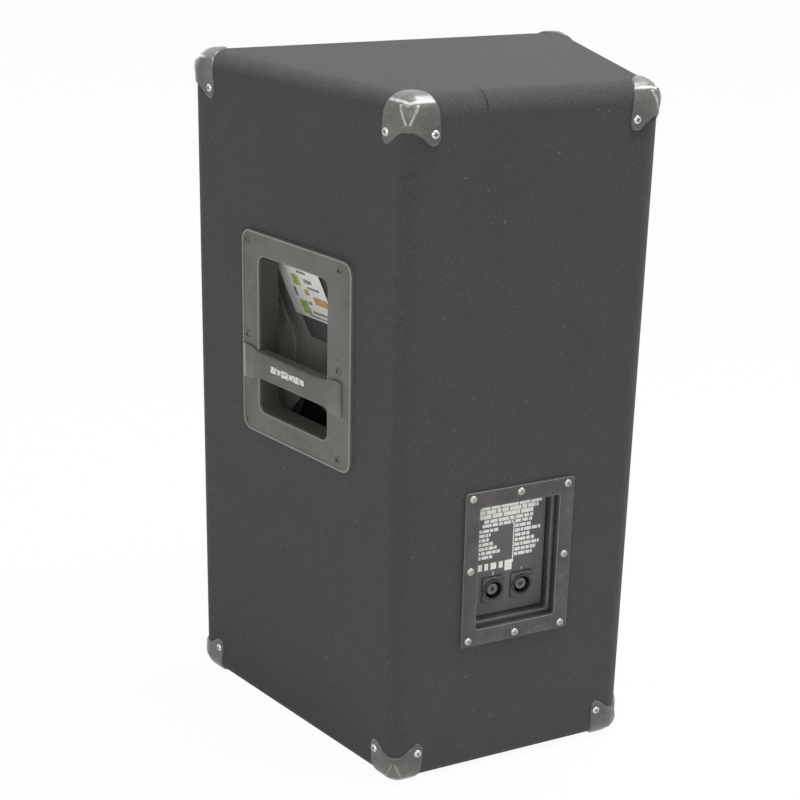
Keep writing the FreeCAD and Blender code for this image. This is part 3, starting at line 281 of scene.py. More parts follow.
def shading_tree():
    """Merges a CAD mesh's loose triangles and smooths its shading except across real edges."""
    tree, given = new_tree("even_shading", {"Edge angle": "Float"})
    merged = add_node(tree, "GeometryNodeMergeByDistance",
                      {"Geometry": given["Geometry"], "Distance": 2e-6})
    faces = add_node(tree, "GeometryNodeSetShadeSmooth", {"Geometry": merged.outputs[0]})
    angle = add_node(tree, "GeometryNodeInputMeshEdgeAngle").outputs["Unsigned Angle"]
    gentle = add_node(tree, "FunctionNodeCompare", {"A": angle, "B": given["Edge angle"]},
                      operation="LESS_THAN")
    edges = add_node(tree, "GeometryNodeSetShadeSmooth",
                     {"Geometry": faces.outputs[0], "Shade Smooth": gentle.outputs[0]},
                     domain="EDGE")
    add_node(tree, "NodeGroupOutput", {"Geometry": edges.outputs[0]})
    return tree


even_shading = shading_tree()
real_edge = math.radians(28)
angle_input = next(item.identifier for item in even_shading.interface.items_tree
                   if item.name == "Edge angle")


def dress(finish, *names):
    """Gives CAD nodes their finish and an even shading."""
    for name in names:
        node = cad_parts[name]
        node.data.materials.clear()
        node.data.materials.append(finish.material)
        shading = node.modifiers.new("even_shading", "NODES")
        shading.node_group = even_shading
        shading[angle_input] = real_edge
        node.modifiers.new("flat_faces_first", "WEIGHTED_NORMAL").keep_sharp = True


dress(felt, "felt_covering")

# ---------------------------------------------------------------- wooden box
# Five 18 mm birch plywood boards and the front baffle make the box, with battens and corner
# blocks glued inside. The wood is left pale inside, where the handle's opening shows it.

plywood = Finish("birch_plywood", 0.75, specular=0.3)
grain = plywood.noise(38, 5, plywood.stretched((9, 9, 1)))
pores = plywood.noise(420, 2, plywood.stretched((4, 4, 0.6)))
plywood.colour(plywood.tones(grain, (188, 185, 178), (206, 203, 196), 0.35, 0.7))
plywood.bump(plywood.maths("ADD", grain, pores), 0.0004, 0.6)
plywood.rough(plywood.spread(pores, 0.3, 0.7, 0.6, 0.85))
dress(plywood, "side_panel_right", "side_panel_left", "top_panel", "bottom_panel", "rear_panel",
      "front_baffle", "glue_blocks")

# ---------------------------------------------------------------- corner protectors
# Each corner wears a moulded black plastic cap, 2 mm thick, with a screwed lobe on each of its
# two upright faces. A raised shield stiffens it where it rounds the upright edge.

front_half = 0.239
rear_half = 0.142
half_depth = 0.176
slope_angle = math.atan((front_half - rear_half) / 2 / half_depth)
felt_low, felt_high = (corner.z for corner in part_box("felt_covering"))
felt_round = 0.021
cap_wall = felt_low
cap_rings = 36
cap_rings_crowd = 1.6
fan_steps = 32
rim_round = 0.0022
rim_tuck = 0.001
thinnest_rim = 0.0002

# The shield, from the top corner down the upright edge: where it starts and ends, in metres.
shield_start, shield_full = 0.007, 0.0085
shield_end, shield_gone = 0.0265, 0.028
shield_half = 0.0135
shield_taper = 0.46
shield_taper_from = 0.008
shield_flank = 0.0042
shield_rise = 0.0015

# Painted highlight and wear: a bright line just under the top edge, near the upright edge, and the
# shield's edges; the bottom caps get less of it.
highlight_wear_line, highlight_wear_line_half, highlight_wear_line_fade = 0.0025, 0.0012, 0.004
highlight_wear_from, highlight_wear_gone = 0.026, 0.036
highlight_wear_on_top = 0.12
highlight_wear_shield = 1.5
highlight_wear_at_foot = 0.3

# Each lobe's outline, from the upright edge to the level one: mm out and mm down.
REAR_LOBE = ((0, 35.3), (7, 35.2), (12.5, 37.8), (18, 42.3), (23.5, 46.8), (28.7, 48.8), (33, 47),
             (35.2, 42), (35.4, 35), (34.6, 24), (33.2, 12), (31, 0))
FRONT_LOBE = ((0, 35.3), (16, 35.2), (25, 36.6), (31, 39.7), (37, 44), (41.5, 47.2), (46, 48.6),
              (50.5, 47), (52.8, 42), (53, 35), (51, 24), (48, 11), (44.5, 0))

moulded = Finish("corner_plastic", 0.3, specular=0.6)
moulded_grey = moulded.tones(moulded.noise(30, 3), (78, 78, 75), (100, 100, 96))
scratches = moulded.noise(90, 4, moulded.stretched((1, 1, 3), (0.6, 0.2, 0)))
scuffed = moulded.blend(moulded.spread(scratches, 0.58, 0.68, 0, 0.5), moulded_grey,
                        rgb(118, 118, 114))
patchy = moulded.spread(moulded.noise(160, 4), 0.3, 0.6, 0.5, 1)
# Painted highlight and wear: near white where the mesh's attribute says so.
highlight_and_rub_white = moulded.maths("MULTIPLY", moulded.painted_light_and_wear(), patchy)
moulded.colour(moulded.blend(highlight_and_rub_white, scuffed, rgb(222, 222, 218)))
moulded.rough(moulded.spread(moulded.noise(60, 3), 0.3, 0.7, 0.22, 0.4))
moulded.bump(moulded.noise(700, 2), 0.00012, 0.6)


def finished_mesh(name, work, finish, angle=32):
    """A mesh from a bmesh, smooth except across its real edges, with its finish."""
    bmesh.ops.remove_doubles(work, verts=work.verts, dist=1e-6)
    bmesh.ops.recalc_face_normals(work, faces=work.faces)
    mesh = bpy.data.meshes.new(name)
    work.to_mesh(mesh)
    work.free()
    mesh.shade_smooth()
    mesh.set_sharp_from_angle(angle=math.radians(angle))
    mesh.materials.append(finish.material)
    return mesh


def linked(name, mesh):
    """A new object in the scene that holds the mesh."""
    made = bpy.data.objects.new(name, mesh)
    scene.collection.objects.link(made)
    return made


def riding(made):
    """Makes an object a piece of the cabinet."""
    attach(made, "cabinet")
    return made


def smooth_step(value, low, high):
    share = min(max((value - low) / (high - low), 0), 1)
    return share * share * (3 - 2 * share)


def drawn_curve(points, per_span):
    """Points along a smooth open curve through the given ones."""
    ends = [points[0] * 2 - points[1], *points, points[-1] * 2 - points[-2]]
    line = []
    for a, b, c, d in zip(ends, ends[1:], ends[2:], ends[3:]):
        for step in range(per_span):
            t = step / per_span
            line.append(0.5 * (2 * b + (c - a) * t + (2 * a - 5 * b + 4 * c - d) * t ** 2
                               + (3 * b - a - 3 * c + d) * t ** 3))
    return line + [points[-1]]


def cap_highlight_and_wear(out, down, flank, length, upright_face):
    """How much painted highlight and wear brighten a point of a cap: the shield's edges and the rim
    of the top.
    """
    shield_edges = length * (1 - abs(2 * flank - 1)) * highlight_wear_shield
    line = 1 - smooth_step(abs(down - highlight_wear_line), highlight_wear_line_half, highlight_wear_line_fade)
    near_top = line if upright_face else highlight_wear_on_top
    return shield_edges + near_top * (1 - smooth_step(out, highlight_wear_from, highlight_wear_gone))


def cap_mesh(name, rear, right, top):
    """A cap over one corner, its wall rising from a rounded rim, with its painted highlight and
    wear kept as a colour.
    """
    end_normal = Vector((0, 1 if rear else -1, 0))
    side_normal = Vector((math.cos(slope_angle), math.sin(slope_angle), 0))
    corner = Vector((rear_half if rear else front_half, half_depth if rear else -half_depth,
                     felt_high))
    normals = [side_normal, end_normal, Vector((0, 0, 1))]
    along = []
    for index in range(3):
        edge = normals[index].cross(normals[(index + 1) % 3]).normalized()
        along.append(-edge if edge.dot(normals[(index + 2) % 3]) > 0 else edge)
    inner = Matrix(normals).inverted() @ Vector([n.dot(corner) - felt_round for n in normals])
    upright, end_edge, side_edge = along

    def rounded(point, face, height):
        """A point of a sharp face, moved onto the rounded box and raised by the height."""
        seat = point - normals[face] * felt_round
        if any((seat - inner).dot(n) > 1e-9 for n in normals if n is not normals[face]):
            options = []
            for index in range(3):
                if face in (index, (index + 1) % 3):
                    run = max((point - inner).dot(along[index]), 0)
                    options.append(inner + along[index] * run)
            seat = min(options, key=lambda option: (point - option).length)
        return seat + (point - seat).normalized() * (felt_round + height)

    lobe = [Vector(spot) / 1000 for spot in (REAR_LOBE if rear else FRONT_LOBE)]
    outlines = []
    for level_edge in (side_edge, end_edge):
        outlines.append([corner + level_edge * spot.x + upright * spot.y
                         for spot in drawn_curve(lobe, 5)])
    fan_reach = (outlines[0][-1] - corner).length
    fan_axis = side_edge.cross(end_edge).normalized()
    fan = []
    for step in range(fan_steps + 1):
        turn = Matrix.Rotation(side_edge.angle(end_edge) * step / fan_steps, 3, fan_axis)
        fan.append(corner + (turn @ side_edge) * fan_reach)
    outlines.append(fan)

    work = bmesh.new()
    light_and_wear = work.verts.layers.float.new("light_and_wear")
    for face, outline in enumerate(outlines):
        before = None
        for tip in outline:
            line = []
            for ring in range(cap_rings + 2):
                share = 1 - (1 - min(ring / cap_rings, 1)) ** cap_rings_crowd
                point = corner + (tip - corner) * share
                margin = 1.0
                if share > 0.5:
                    margin = min((point - other).length for other in outline) / rim_round
                wall = cap_wall * math.sqrt(max(0, 1 - max(0, 1 - margin) ** 2))
                height = max(wall, thinnest_rim)
                down = (point - corner).dot(upright) if face < 2 else 0.0
                out = ((point - corner) - upright * down).length
                half = shield_half - shield_taper * (down - shield_taper_from)
                flank = smooth_step(out, half - shield_flank, half)
                length = (smooth_step(down, shield_start, shield_full)
                          * (1 - smooth_step(down, shield_end, shield_gone)))
                raised = shield_rise * (1 - flank) * length
                if ring > cap_rings:
                    height, raised = -rim_tuck, 0.0
                vertex = work.verts.new(rounded(point, face, height + raised))
                # How much painted highlight and wear this point gets; the bottom caps get less.
                rubbed = cap_highlight_and_wear(out, down, flank, length, face < 2)
                vertex[light_and_wear] = min(rubbed * (1.0 if top else highlight_wear_at_foot), 1)
                line.append(vertex)
            if before:
                work.faces.new((before[0], before[1], line[1]))
                for ring in range(1, cap_rings + 1):
                    work.faces.new((before[ring], before[ring + 1], line[ring + 1], line[ring]))
            before = line
    for vertex in work.verts:
        if not right:
            vertex.co.x = -vertex.co.x
        if not top:
            vertex.co.z = felt_high + felt_low - vertex.co.z
    mesh = finished_mesh(name, work, moulded)
    outward = Vector((1 if right else -1, end_normal.y, 1 if top else -1))
    if mesh.polygons[0].normal.dot(outward) < 0:
        mesh.flip_normals()
    return mesh


for end, rear in (("front", False), ("rear", True)):
    for level, top in (("top", True), ("bottom", False)):
        for side, right in (("right", True), ("left", False)):
            node_name = "corner_%s_%s_%s" % (end, level, side)
            name = node_name + "_cap"
            cap = riding(linked(name, cap_mesh(name, rear, right, top)))
            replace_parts(cap, node_name)

# ---------------------------------------------------------------- cross-head screws
# Domed screws with a cross recess hold the corner caps, the handles, the connection plate, its
# sockets and the grille. The caps' are zinc plated; the others are dull steel or aged black.


def speckled(name, roughness, dark, light, cloud, grain, depth, strength=0.5, drawn=(0.35, 0.65),
             rough=None, metallic=0.0, specular=0.5):
    """A finish of two tones that drift, over a finely grained surface.

    The cloud and the grain are each a pattern's scale and detail. The cloud's values between
    the drawn ones make the tones. Rough is a scale, a detail and the roughness it runs between.
    """
    made = Finish(name, roughness, metallic, specular)
    made.colour(made.tones(made.noise(*cloud), dark, light, *drawn))
    if rough:
        scale, detail, smoothest, roughest = rough
        made.rough(made.spread(made.noise(scale, detail), 0.3, 0.7, smoothest, roughest))
    made.bump(made.noise(*grain), depth, strength)
    return made


zinc = speckled("zinc_plating", 0.24, dark=(186, 186, 184), light=(226, 226, 224), cloud=(900, 3),
                grain=(2600, 2), depth=0.00003, rough=(1500, 2, 0.16, 0.34), metallic=1.0)
black_oxide = speckled("black_oxide", 0.42, dark=(30, 30, 31), light=(52, 52, 53), cloud=(800, 3),
                       grain=(2000, 2), depth=0.00003, metallic=0.6)


def join_rings(work, rings):
    """Walls of four-sided faces between rings of equal counts."""
    for low, high in zip(rings, rings[1:]):
        for index in range(len(low)):
            after = (index + 1) % len(low)
            work.faces.new((low[index], low[after], high[after], high[index]))


def screw_head(name, radius, rise):
    """A low domed screw head that stands on z = 0, with a cross recess."""
    arm, web, recess, recess_narrows = 0.56 * radius, 0.15 * radius, 0.35 * radius, 0.8
    dome = ((0.74, 0.86), (0.93, 0.42), (1.0, 0.0))
    cross = []
    for quarter in range(4):
        turn = Matrix.Rotation(math.radians(90 * quarter), 2)
        cross += [turn @ Vector(spot) for spot in ((arm, -web), (arm, web), (web, web))]
    rings = [[(spot * recess_narrows).to_tuple() + (rise - recess,) for spot in cross],
             [spot.to_tuple() + (rise,) for spot in cross]]
    for reach, level in dome:
        rings.append([(spot.normalized() * radius * reach).to_tuple() + (rise * level,)
                      for spot in cross])
    work = bmesh.new()
    lines = [[work.verts.new(spot) for spot in ring] for ring in rings]
    work.faces.new(lines[0])
    join_rings(work, lines)
    bmesh.ops.recalc_face_normals(work, faces=work.faces)
    mesh = bpy.data.meshes.new(name)
    work.to_mesh(mesh)
    work.free()
    mesh.shade_smooth()
    mesh.set_sharp_from_angle(angle=math.radians(40))
    return bpy.data.objects.new(name, mesh)


def stand_on_points(tree, given, points, template, turn=None):
    """Ends a tree: the template stood on each point, made real and given the finish."""
    shape = add_node(tree, "GeometryNodeObjectInfo", {"Object": template}).outputs["Geometry"]
    feeds = {"Points": points, "Instance": shape}
    if turn:
        feeds["Rotation"] = turn
    stood = add_node(tree, "GeometryNodeInstanceOnPoints", feeds)
    real = add_node(tree, "GeometryNodeRealizeInstances", {0: stood.outputs[0]})
    painted = add_node(tree, "GeometryNodeSetMaterial",
                       {"Geometry": real.outputs[0], "Material": given["Finish"]})
    add_node(tree, "NodeGroupOutput", {0: painted.outputs[0]})


def screw_tree():
    """Stands one screw on each point, along the point's own axis and turned by chance."""
    tree, given = new_tree("screws_on_points",
                           {"Screw": "Object", "Seed": "Int", "Finish": "Material"})
    axis = add_node(tree, "GeometryNodeInputNamedAttribute", {"Name": "axis"},
                    data_type="FLOAT_VECTOR")
    aim = add_node(tree, "FunctionNodeAlignRotationToVector",
                   {"Vector": axis.outputs["Attribute"]}, axis="Z")
    chance = add_node(tree, "FunctionNodeRandomValue",
                      {3: math.radians(90), "Seed": given["Seed"]})
    spin = add_node(tree, "ShaderNodeCombineXYZ", {"Z": chance.outputs[1]})
    turned = add_node(tree, "FunctionNodeRotateRotation",
                      {"Rotation": aim.outputs[0], "Rotate By": spin.outputs[0]},
                      rotation_space="LOCAL")
    stand_on_points(tree, given, given["Geometry"], given["Screw"], turned.outputs[0])
    return tree


screws_on_points = screw_tree()


def plain_copy(holder):
    """The evaluated mesh of an object as a mesh of its own."""
    bpy.context.view_layer.update()
    graph = bpy.context.evaluated_depsgraph_get()
    return bpy.data.meshes.new_from_object(holder.evaluated_get(graph))


def made_plain(name, mesh, tree, inputs, template):
    """A new object whose mesh is what a geometry tree makes of the given one."""
    holder = linked(name, mesh)
    runner = holder.modifiers.new("maker", "NODES")
    runner.node_group = tree
    for item in tree.interface.items_tree:
        if item.name in inputs:
            runner[item.identifier] = inputs[item.name]
    holder.update_tag()
    plain = plain_copy(holder)
    holder.modifiers.remove(runner)
    holder.data = plain
    bpy.data.objects.remove(template)
    return holder


def loose_solids(node_name):
    """The vertices of each separate solid in a CAD node, in the order of their first vertices."""
    work = bmesh.new()
    work.from_mesh(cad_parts[node_name].data)
    bmesh.ops.remove_doubles(work, verts=work.verts, dist=2e-6)
    seen = set()
    groups = []
    for first in work.verts:
        if first in seen:
            continue
        seen.add(first)
        stack, found = [first], []
        while stack:
            vertex = stack.pop()
            found.append(vertex.co.copy())
            for edge in vertex.link_edges:
                other = edge.other_vert(vertex)
                if other not in seen:
                    seen.add(other)
                    stack.append(other)
        groups.append(found)
    work.free()
    return groups


def middle_of(points):
    return sum(points, Vector()) / len(points)


def screw_seats(node_name):
    """Where each screw of a CAD node has its head's top, and which way it looks."""
    tail_reach, head_depth = 0.0075, 0.0025
    seats = []
    for points in loose_solids(node_name):
        centre = middle_of(points)
        tail = max(points, key=lambda p: (p - centre).length)
        crown = max(points, key=lambda p: (p - tail).length)
        middle = middle_of([p for p in points if (p - tail).length < tail_reach])
        axis = (crown - middle).normalized()
        head_from = (crown - middle).dot(axis) - head_depth
        top = middle_of([p for p in points if (p - middle).dot(axis) > head_from])
        axis = (top - middle).normalized()
        reach = max((p - middle).dot(axis) for p in points)
        seats.append((middle + axis * reach, axis))
    return seats


def screws(name, seats, radius, rise, finish, node_name):
    """Detailed screws in place of a CAD node's plain ones."""
    name += "_heads"
    template = screw_head(name + "_template", radius, rise)
    mesh = bpy.data.meshes.new(name)
    mesh.from_pydata([top - axis * rise for top, axis in seats], [], [])
    facing = mesh.attributes.new("axis", "FLOAT_VECTOR", "POINT")
    facing.data.foreach_set("vector", [number for _, axis in seats for number in axis])
    inputs = {"Screw": template, "Seed": turn_seed, "Finish": finish.material}
    holder = made_plain(name, mesh, screws_on_points, inputs, template)
    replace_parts(riding(holder), node_name)


turn_seed = 7
lift_on_cap = 0.0015
corner_seats = [(top + axis * lift_on_cap, axis) for top, axis in screw_seats("corner_screws")]
screws("corner_screws", corner_seats, radius=0.0044, rise=0.0014, finish=zinc,
       node_name="corner_screws")

# ---------------------------------------------------------------- carrying handles
# Each side has a moulded handle: a flat frame screwed over the hole, a short neck through the
# board, and a grip moulded across the opening with a wide tab at each end.

side_origin = Vector(((front_half + rear_half) / 2, 0, 0))
side_out = Vector((math.cos(slope_angle), math.sin(slope_angle), 0))
side_back = Vector((-math.sin(slope_angle), math.cos(slope_angle), 0))
handle_shift = 0.009
handle_z = 0.4602
grip_z = 0.4262

# The frame's loops in mm: width, height, corner radius, how far out, and a shift to the rear.
HANDLE_LOOPS = (
    (187, 230, 14, -0.3, 6), (187, 230, 14, 2.8, 6), (186.3, 229.3, 13.6, 3.7, 6),
    (184.8, 227.8, 12.9, 4.1, 6), (181, 224, 11, 4.1, 6), (179.4, 222.4, 10.2, 3.6, 6),
    (178.6, 221.6, 9.8, 3.2, 6), (122.4, 181.4, 11.2, 3.2, 0), (120, 179, 10, 2.8, 0),
    (118.4, 177.4, 9.2, 1.9, 0), (118, 177, 9, -1.2, 0), (118, 177, 9, -24, 0),
    (124, 183, 12, -24, 0), (124, 183, 12, -0.3, 0))

# The grip's sections in mm: how far along, its inner and outer level, and half its height.
GRIP_SECTIONS = (
    (-85, 3.1, 4.6, 17.6), (-84.4, 3.1, 5.4, 18.8), (-82.4, 3.1, 6.3, 19.2), (-80, 3.1, 6.3, 19.2),
    (-78.8, 3.1, 5.7, 19.2), (-70, 3.1, 5.9, 18.9), (-64, 2.6, 6.1, 17.8), (-60.5, 0.5, 6.3, 16.2),
    (-58.4, -5, 6.5, 15.6), (-55, -8.8, 6.7, 15.4), (-46, -9.4, 6.9, 15.2), (-24, -9.4, 7.1, 15),
    (0, -9.4, 7.2, 15))

# The inlay's bars in mm: where each starts along the grip, its length and half its height.
INLAY_BARS = ((-32, 10, 3.6), (-21, 6, 3), (-14, 13, 4), (0, 5, 3), (6, 11, 3.6), (18, 8, 3))
inlay_level = 0.0072
inlay_lift = 0.002
inlay_half = 0.0002

# The grip's painted highlight and wear: its bright end in mm along, its bright lower edge in mm,
# and how strong each is.
highlight_wear_end_from, highlight_wear_end_full = 79, 80
highlight_wear_edge, highlight_wear_edge_share = 2.2, 0.35
# Below the least share, the grip is darkened a quarter of the way to the dark tone.
least_light_and_wear, rest_darkened = 0.05, -0.25

tough = Finish("handle_plastic", 0.5, specular=0.4)
tough_grey = tough.tones(tough.noise(26, 4), (92, 92, 88), (104, 104, 99))
tough_scratches = tough.noise(120, 5, tough.stretched((1, 1, 4), (0.4, 0, 0.3)))
rubbed = tough.spread(tough_scratches, 0.58, 0.7, 0, 0.55)
tough_worn = tough.blend(rubbed, tough_grey, rgb(126, 126, 121))
tough_light_and_wear = tough.painted_light_and_wear()
# Painted highlights on the frame's edges and the grip's end and lower edge, mixed with wear.
tough_highlight_and_wear = tough.blend(tough_light_and_wear, tough_worn, rgb(150, 150, 144))
# Painted shade on the walls of the handle's neck; the rest of the grip is darkened a little towards
# the same tone.
tough.colour(tough.blend(tough.maths("MULTIPLY", tough_light_and_wear, -1), tough_highlight_and_wear, rgb(84, 82, 78)))
tough.rough(tough.spread(tough.noise(70, 3), 0.3, 0.7, 0.38, 0.6))
tough.bump(tough.noise(900, 2), 0.00015, 0.7)
inlay = speckled("pale_inlay", 0.45, dark=(244, 244, 240), light=(150, 150, 146), cloud=(400, 4),
                 grain=(1200, 2), depth=0.00005, drawn=(0.42, 0.62), specular=0.4)


def rounded_loop(width, tall, radius, per_corner=7):
    """A rounded rectangle's points about its centre, the same number whatever its size."""
    loop = []
    for quarter, (x, y) in enumerate(((1, 1), (-1, 1), (-1, -1), (1, -1))):
        centre = Vector((x * (width / 2 - radius), y * (tall / 2 - radius)))
        for step in range(per_corner + 1):
            turn = math.radians(90) * (quarter + step / per_corner)
            loop.append(centre + Vector((math.cos(turn), math.sin(turn))) * radius)
    return loop


def lofted(rows, place, closed=False, highlight_rings=(), painted_shade_rings=()):
    """Walls between rounded loops; place(x, y, level) gives each point its own place.

    Each row is in mm: width, height, corner radius, level and, where it has one, a shift along.
    The rings with painted highlights are kept as 1 and those with painted shade as -1 in the mesh's
    attribute of painted light and wear.
    """
    work = bmesh.new()
    light_and_wear = work.verts.layers.float.new("light_and_wear")
    rings = []
    for number, (width, tall, radius, level, *shift) in enumerate(rows):
        along = shift[0] / 1000 if shift else 0.0
        loop = rounded_loop(width / 1000, tall / 1000, radius / 1000)
        ring = [work.verts.new(place(spot.x + along, spot.y, level / 1000)) for spot in loop]
        for vertex in ring:
            vertex[light_and_wear] = 1.0 if number in highlight_rings else -1.0 if number in painted_shade_rings else 0.0
        rings.append(ring)
    join_rings(work, rings + rings[:1] if closed else rings)
    return work


def on_side(sign, height):
    """Places a point given along a side wall, up it and out of it."""
    def place(back, up, out):
        spot = side_origin + side_back * (back + handle_shift) + side_out * out
        return Vector((spot.x * sign, spot.y, up + height))
    return place


def grip_work(place):
    """The grip, drawn through rounded sections from tab to tab, with painted highlight and wear at
    its end and edges and the rest darker.
    """
    mirrored = [(-back, *section) for back, *section in GRIP_SECTIONS[-2::-1]]
    work = bmesh.new()
    light_and_wear = work.verts.layers.float.new("light_and_wear")
    rings = []
    for back, low, high, half in (*GRIP_SECTIONS, *mirrored):
        radius = min((high - low) * 0.3, 3.2)
        middle = (high + low) / 2000
        at_end = smooth_step(-back, highlight_wear_end_from, highlight_wear_end_full)
        ring = []
        for spot in rounded_loop((high - low) / 1000, 2 * half / 1000, radius / 1000, 5):
            vertex = work.verts.new(place(back / 1000, spot.y, middle + spot.x))
            at_edge = smooth_step(-spot.y * 1000, half - highlight_wear_edge, half)
            share = max(at_end, highlight_wear_edge_share * at_edge)
            vertex[light_and_wear] = share if share > least_light_and_wear else rest_darkened
            ring.append(vertex)
        rings.append(ring)
    join_rings(work, rings)
    work.faces.new(rings[0])
    work.faces.new(rings[-1])
    return work


def box_work(work, centre, half, place):
    """A small plain block added to a bmesh, through its own placing."""
    spots = []
    for x in (-1, 1):
        for y in (-1, 1):
            for z in (-1, 1):
                spots.append(work.verts.new(place(centre[0] + x * half[0], centre[1] + y * half[1],
                                                  centre[2] + z * half[2])))
    for corners in ((0, 1, 3, 2), (4, 6, 7, 5), (0, 4, 5, 1), (2, 3, 7, 6), (0, 2, 6, 4),
                    (1, 5, 7, 3)):
        work.faces.new([spots[index] for index in corners])


for side, sign in (("right", 1), ("left", -1)):
    # Painted highlights on the frame's outer bevel and window lip, and painted shade on the neck's
    # walls.
    frame_work = lofted(HANDLE_LOOPS, on_side(sign, handle_z), closed=True, highlight_rings=(3, 8),
                        painted_shade_rings=(10, 11, 12))
    for part, work in (("frame", frame_work), ("grip", grip_work(on_side(sign, grip_z)))):
        node_name = "handle_%s_%s" % (part, side)
        mesh = finished_mesh(node_name, work, tough, angle=40)
        moulding = linked("handle_%s_%s_moulding" % (part, side), mesh)
        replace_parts(riding(moulding), node_name)
    bars = bmesh.new()
    for start, length, half in INLAY_BARS:
        box_work(bars, ((start + length / 2) / 1000, inlay_lift, inlay_level),
                 (length / 2000, half / 1000, inlay_half), on_side(sign, grip_z))
    name = "grip_inlay_" + side
    riding(linked(name, finished_mesh(name, bars, inlay)))

# ---------------------------------------------------------------- rear connection plate
# A pressed black plate is let into the rear panel and held by eight screws. Its recess steps
# down to a flat floor with two round locking sockets and a printed table of plain marks.

plate_z = 0.2472
plate_back, plate_floor = 0.154, 0.157
socket_off, socket_z = 0.0175, 0.2092
barrel_radius = 0.0122
barrel_sides = 32
print_level = plate_floor + 0.0001
print_half = 0.00008
numeral_z, numeral_size = 0.2262, 0.0055
shortest_bar = 1.2

# The plate's loops in mm: width, height, corner radius and distance to the rear.
PLATE_LOOPS = (
    (102, 148, 3, 154), (102, 148, 3, 175.8), (131, 180, 3, 175.8), (131, 180, 3, 178.2),
    (130.3, 179.3, 2.7, 178.8), (129.6, 178.6, 2.3, 179), (98.4, 144.4, 4.2, 179),
    (96.8, 142.8, 3.4, 178.7), (96, 142, 3, 177.8), (96, 142, 3, 169.4), (95.2, 141.2, 2.6, 169),
    (89, 135, 3.4, 169), (88, 134, 3, 168.2), (88, 134, 3, 157.3), (87, 133, 2.5, 157))

# The print's rows in mm: left, top, width, height, the bars' lengths and the gap between them.
PRINT_ROWS = [
    (-40, 311, 79, 6.2, (16, 11, 21, 13, 18), 1.2),
    (-39, 303.6, 74, 4.2, (9, 12, 5, 8, 14, 6), 1.2),
    (-39.5, 298.4, 70, 4.4, (17, 12, 20, 15), 1.4),
    (-31, 292.4, 60, 3.6, (6, 9, 13, 5, 10), 1.2),
    (-33, 287.4, 62, 3.4, (11, 7, 4, 9), 1.3)]
for row, (left_width, right_width) in enumerate(((26, 20), (16, 33), (14, 18), (19, 24), (24, 30),
                                                 (28, 26), (20, 22))):
    lengths = ((5, 8, 4), (9, 3, 6), (4, 5, 7))[row % 3]
    PRINT_ROWS.append((-38.5, 281.5 - row * 5.2, left_width, 3.4, lengths, 1.0))
    PRINT_ROWS.append((7.5, 282 - row * 5.6, right_width, 3.6, lengths[::-1], 1.0))
PRINT_ROWS += [(5.2, 286, 1.3, 46, (1.3,), 1.0), (-37, 240.5, 31, 7, (5.5, 4.5, 7, 5), 3.0),
               (-3.8, 240.5, 9, 11, (9,), 1.0)]

plate_paint = Finish("plate_paint", 0.42, specular=0.4)
plate_grey = plate_paint.tones(plate_paint.noise(40, 4), (72, 69, 68), (86, 83, 81))
plate_scuff = plate_paint.spread(plate_paint.noise(130, 5), 0.6, 0.7, 0, 0.5)
plate_worn = plate_paint.blend(plate_scuff, plate_grey, rgb(112, 109, 106))
on_floor = plate_paint.spread(plate_paint.along("Y"), plate_floor + 0.0001, plate_floor + 0.0006,
                              0.75, 0)
plate_floored = plate_paint.blend(on_floor, plate_worn, rgb(104, 101, 99))
# Painted highlights on the edges of the plate's steps, and painted shade on the walls between them.
plate_light_marks = plate_paint.painted_light_and_wear()
plate_edge_highlights = plate_paint.blend(plate_light_marks, plate_floored, rgb(128, 126, 122))
plate_painted_shade = plate_paint.maths("MULTIPLY", plate_light_marks, -1)
plate_paint.colour(plate_paint.blend(plate_painted_shade, plate_edge_highlights, rgb(28, 27, 26)))
plate_paint.rough(plate_paint.spread(plate_paint.noise(90, 3), 0.3, 0.7, 0.3, 0.5))
plate_paint.bump(plate_paint.noise(1100, 2), 0.00012, 0.7)
printed = speckled("white_print", 0.55, dark=(255, 255, 252), light=(214, 212, 208),
                   cloud=(900, 3), grain=(2000, 2), depth=0.00002, strength=0.4,
                   drawn=(0.52, 0.66), specular=0.3)


def on_rear(x, z, y):
    return Vector((x, y, z + plate_z))


# Painted highlights on the edges of the steps, and painted shade on the walls between them.
plate_work = lofted(PLATE_LOOPS, on_rear, highlight_rings=(4, 7, 11), painted_shade_rings=(9, 13))
plate_work.verts.ensure_lookup_table()
per_ring = len(plate_work.verts) // len(PLATE_LOOPS)
outer_ring, inner_ring = plate_work.verts[:per_ring], plate_work.verts[-per_ring:]
barrels = {plate_back: [], plate_floor: []}
for ring, level in ((outer_ring, plate_back), (inner_ring, plate_floor)):
    edges = [plate_work.edges.get(ends) for ends in zip(ring, ring[1:] + ring[:1])]
    for socket_x in (-socket_off, socket_off):
        circle = []
        for step in range(barrel_sides):
            turn = math.radians(360 * step / barrel_sides)
            circle.append(plate_work.verts.new((socket_x + barrel_radius * math.cos(turn), level,
                                                socket_z + barrel_radius * math.sin(turn))))
        edges += [plate_work.edges.new(ends) for ends in zip(circle, circle[1:] + circle[:1])]
        barrels[level].append(circle)
    bmesh.ops.triangle_fill(plate_work, use_beauty=True, use_dissolve=False, edges=edges)
for back_ring, floor_ring in zip(barrels[plate_back], barrels[plate_floor]):
    join_rings(plate_work, (back_ring, floor_ring))
plate_mesh = finished_mesh("terminal_plate", plate_work, plate_paint, angle=40)
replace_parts(riding(linked("terminal_plate_pressing", plate_mesh)), "terminal_plate")

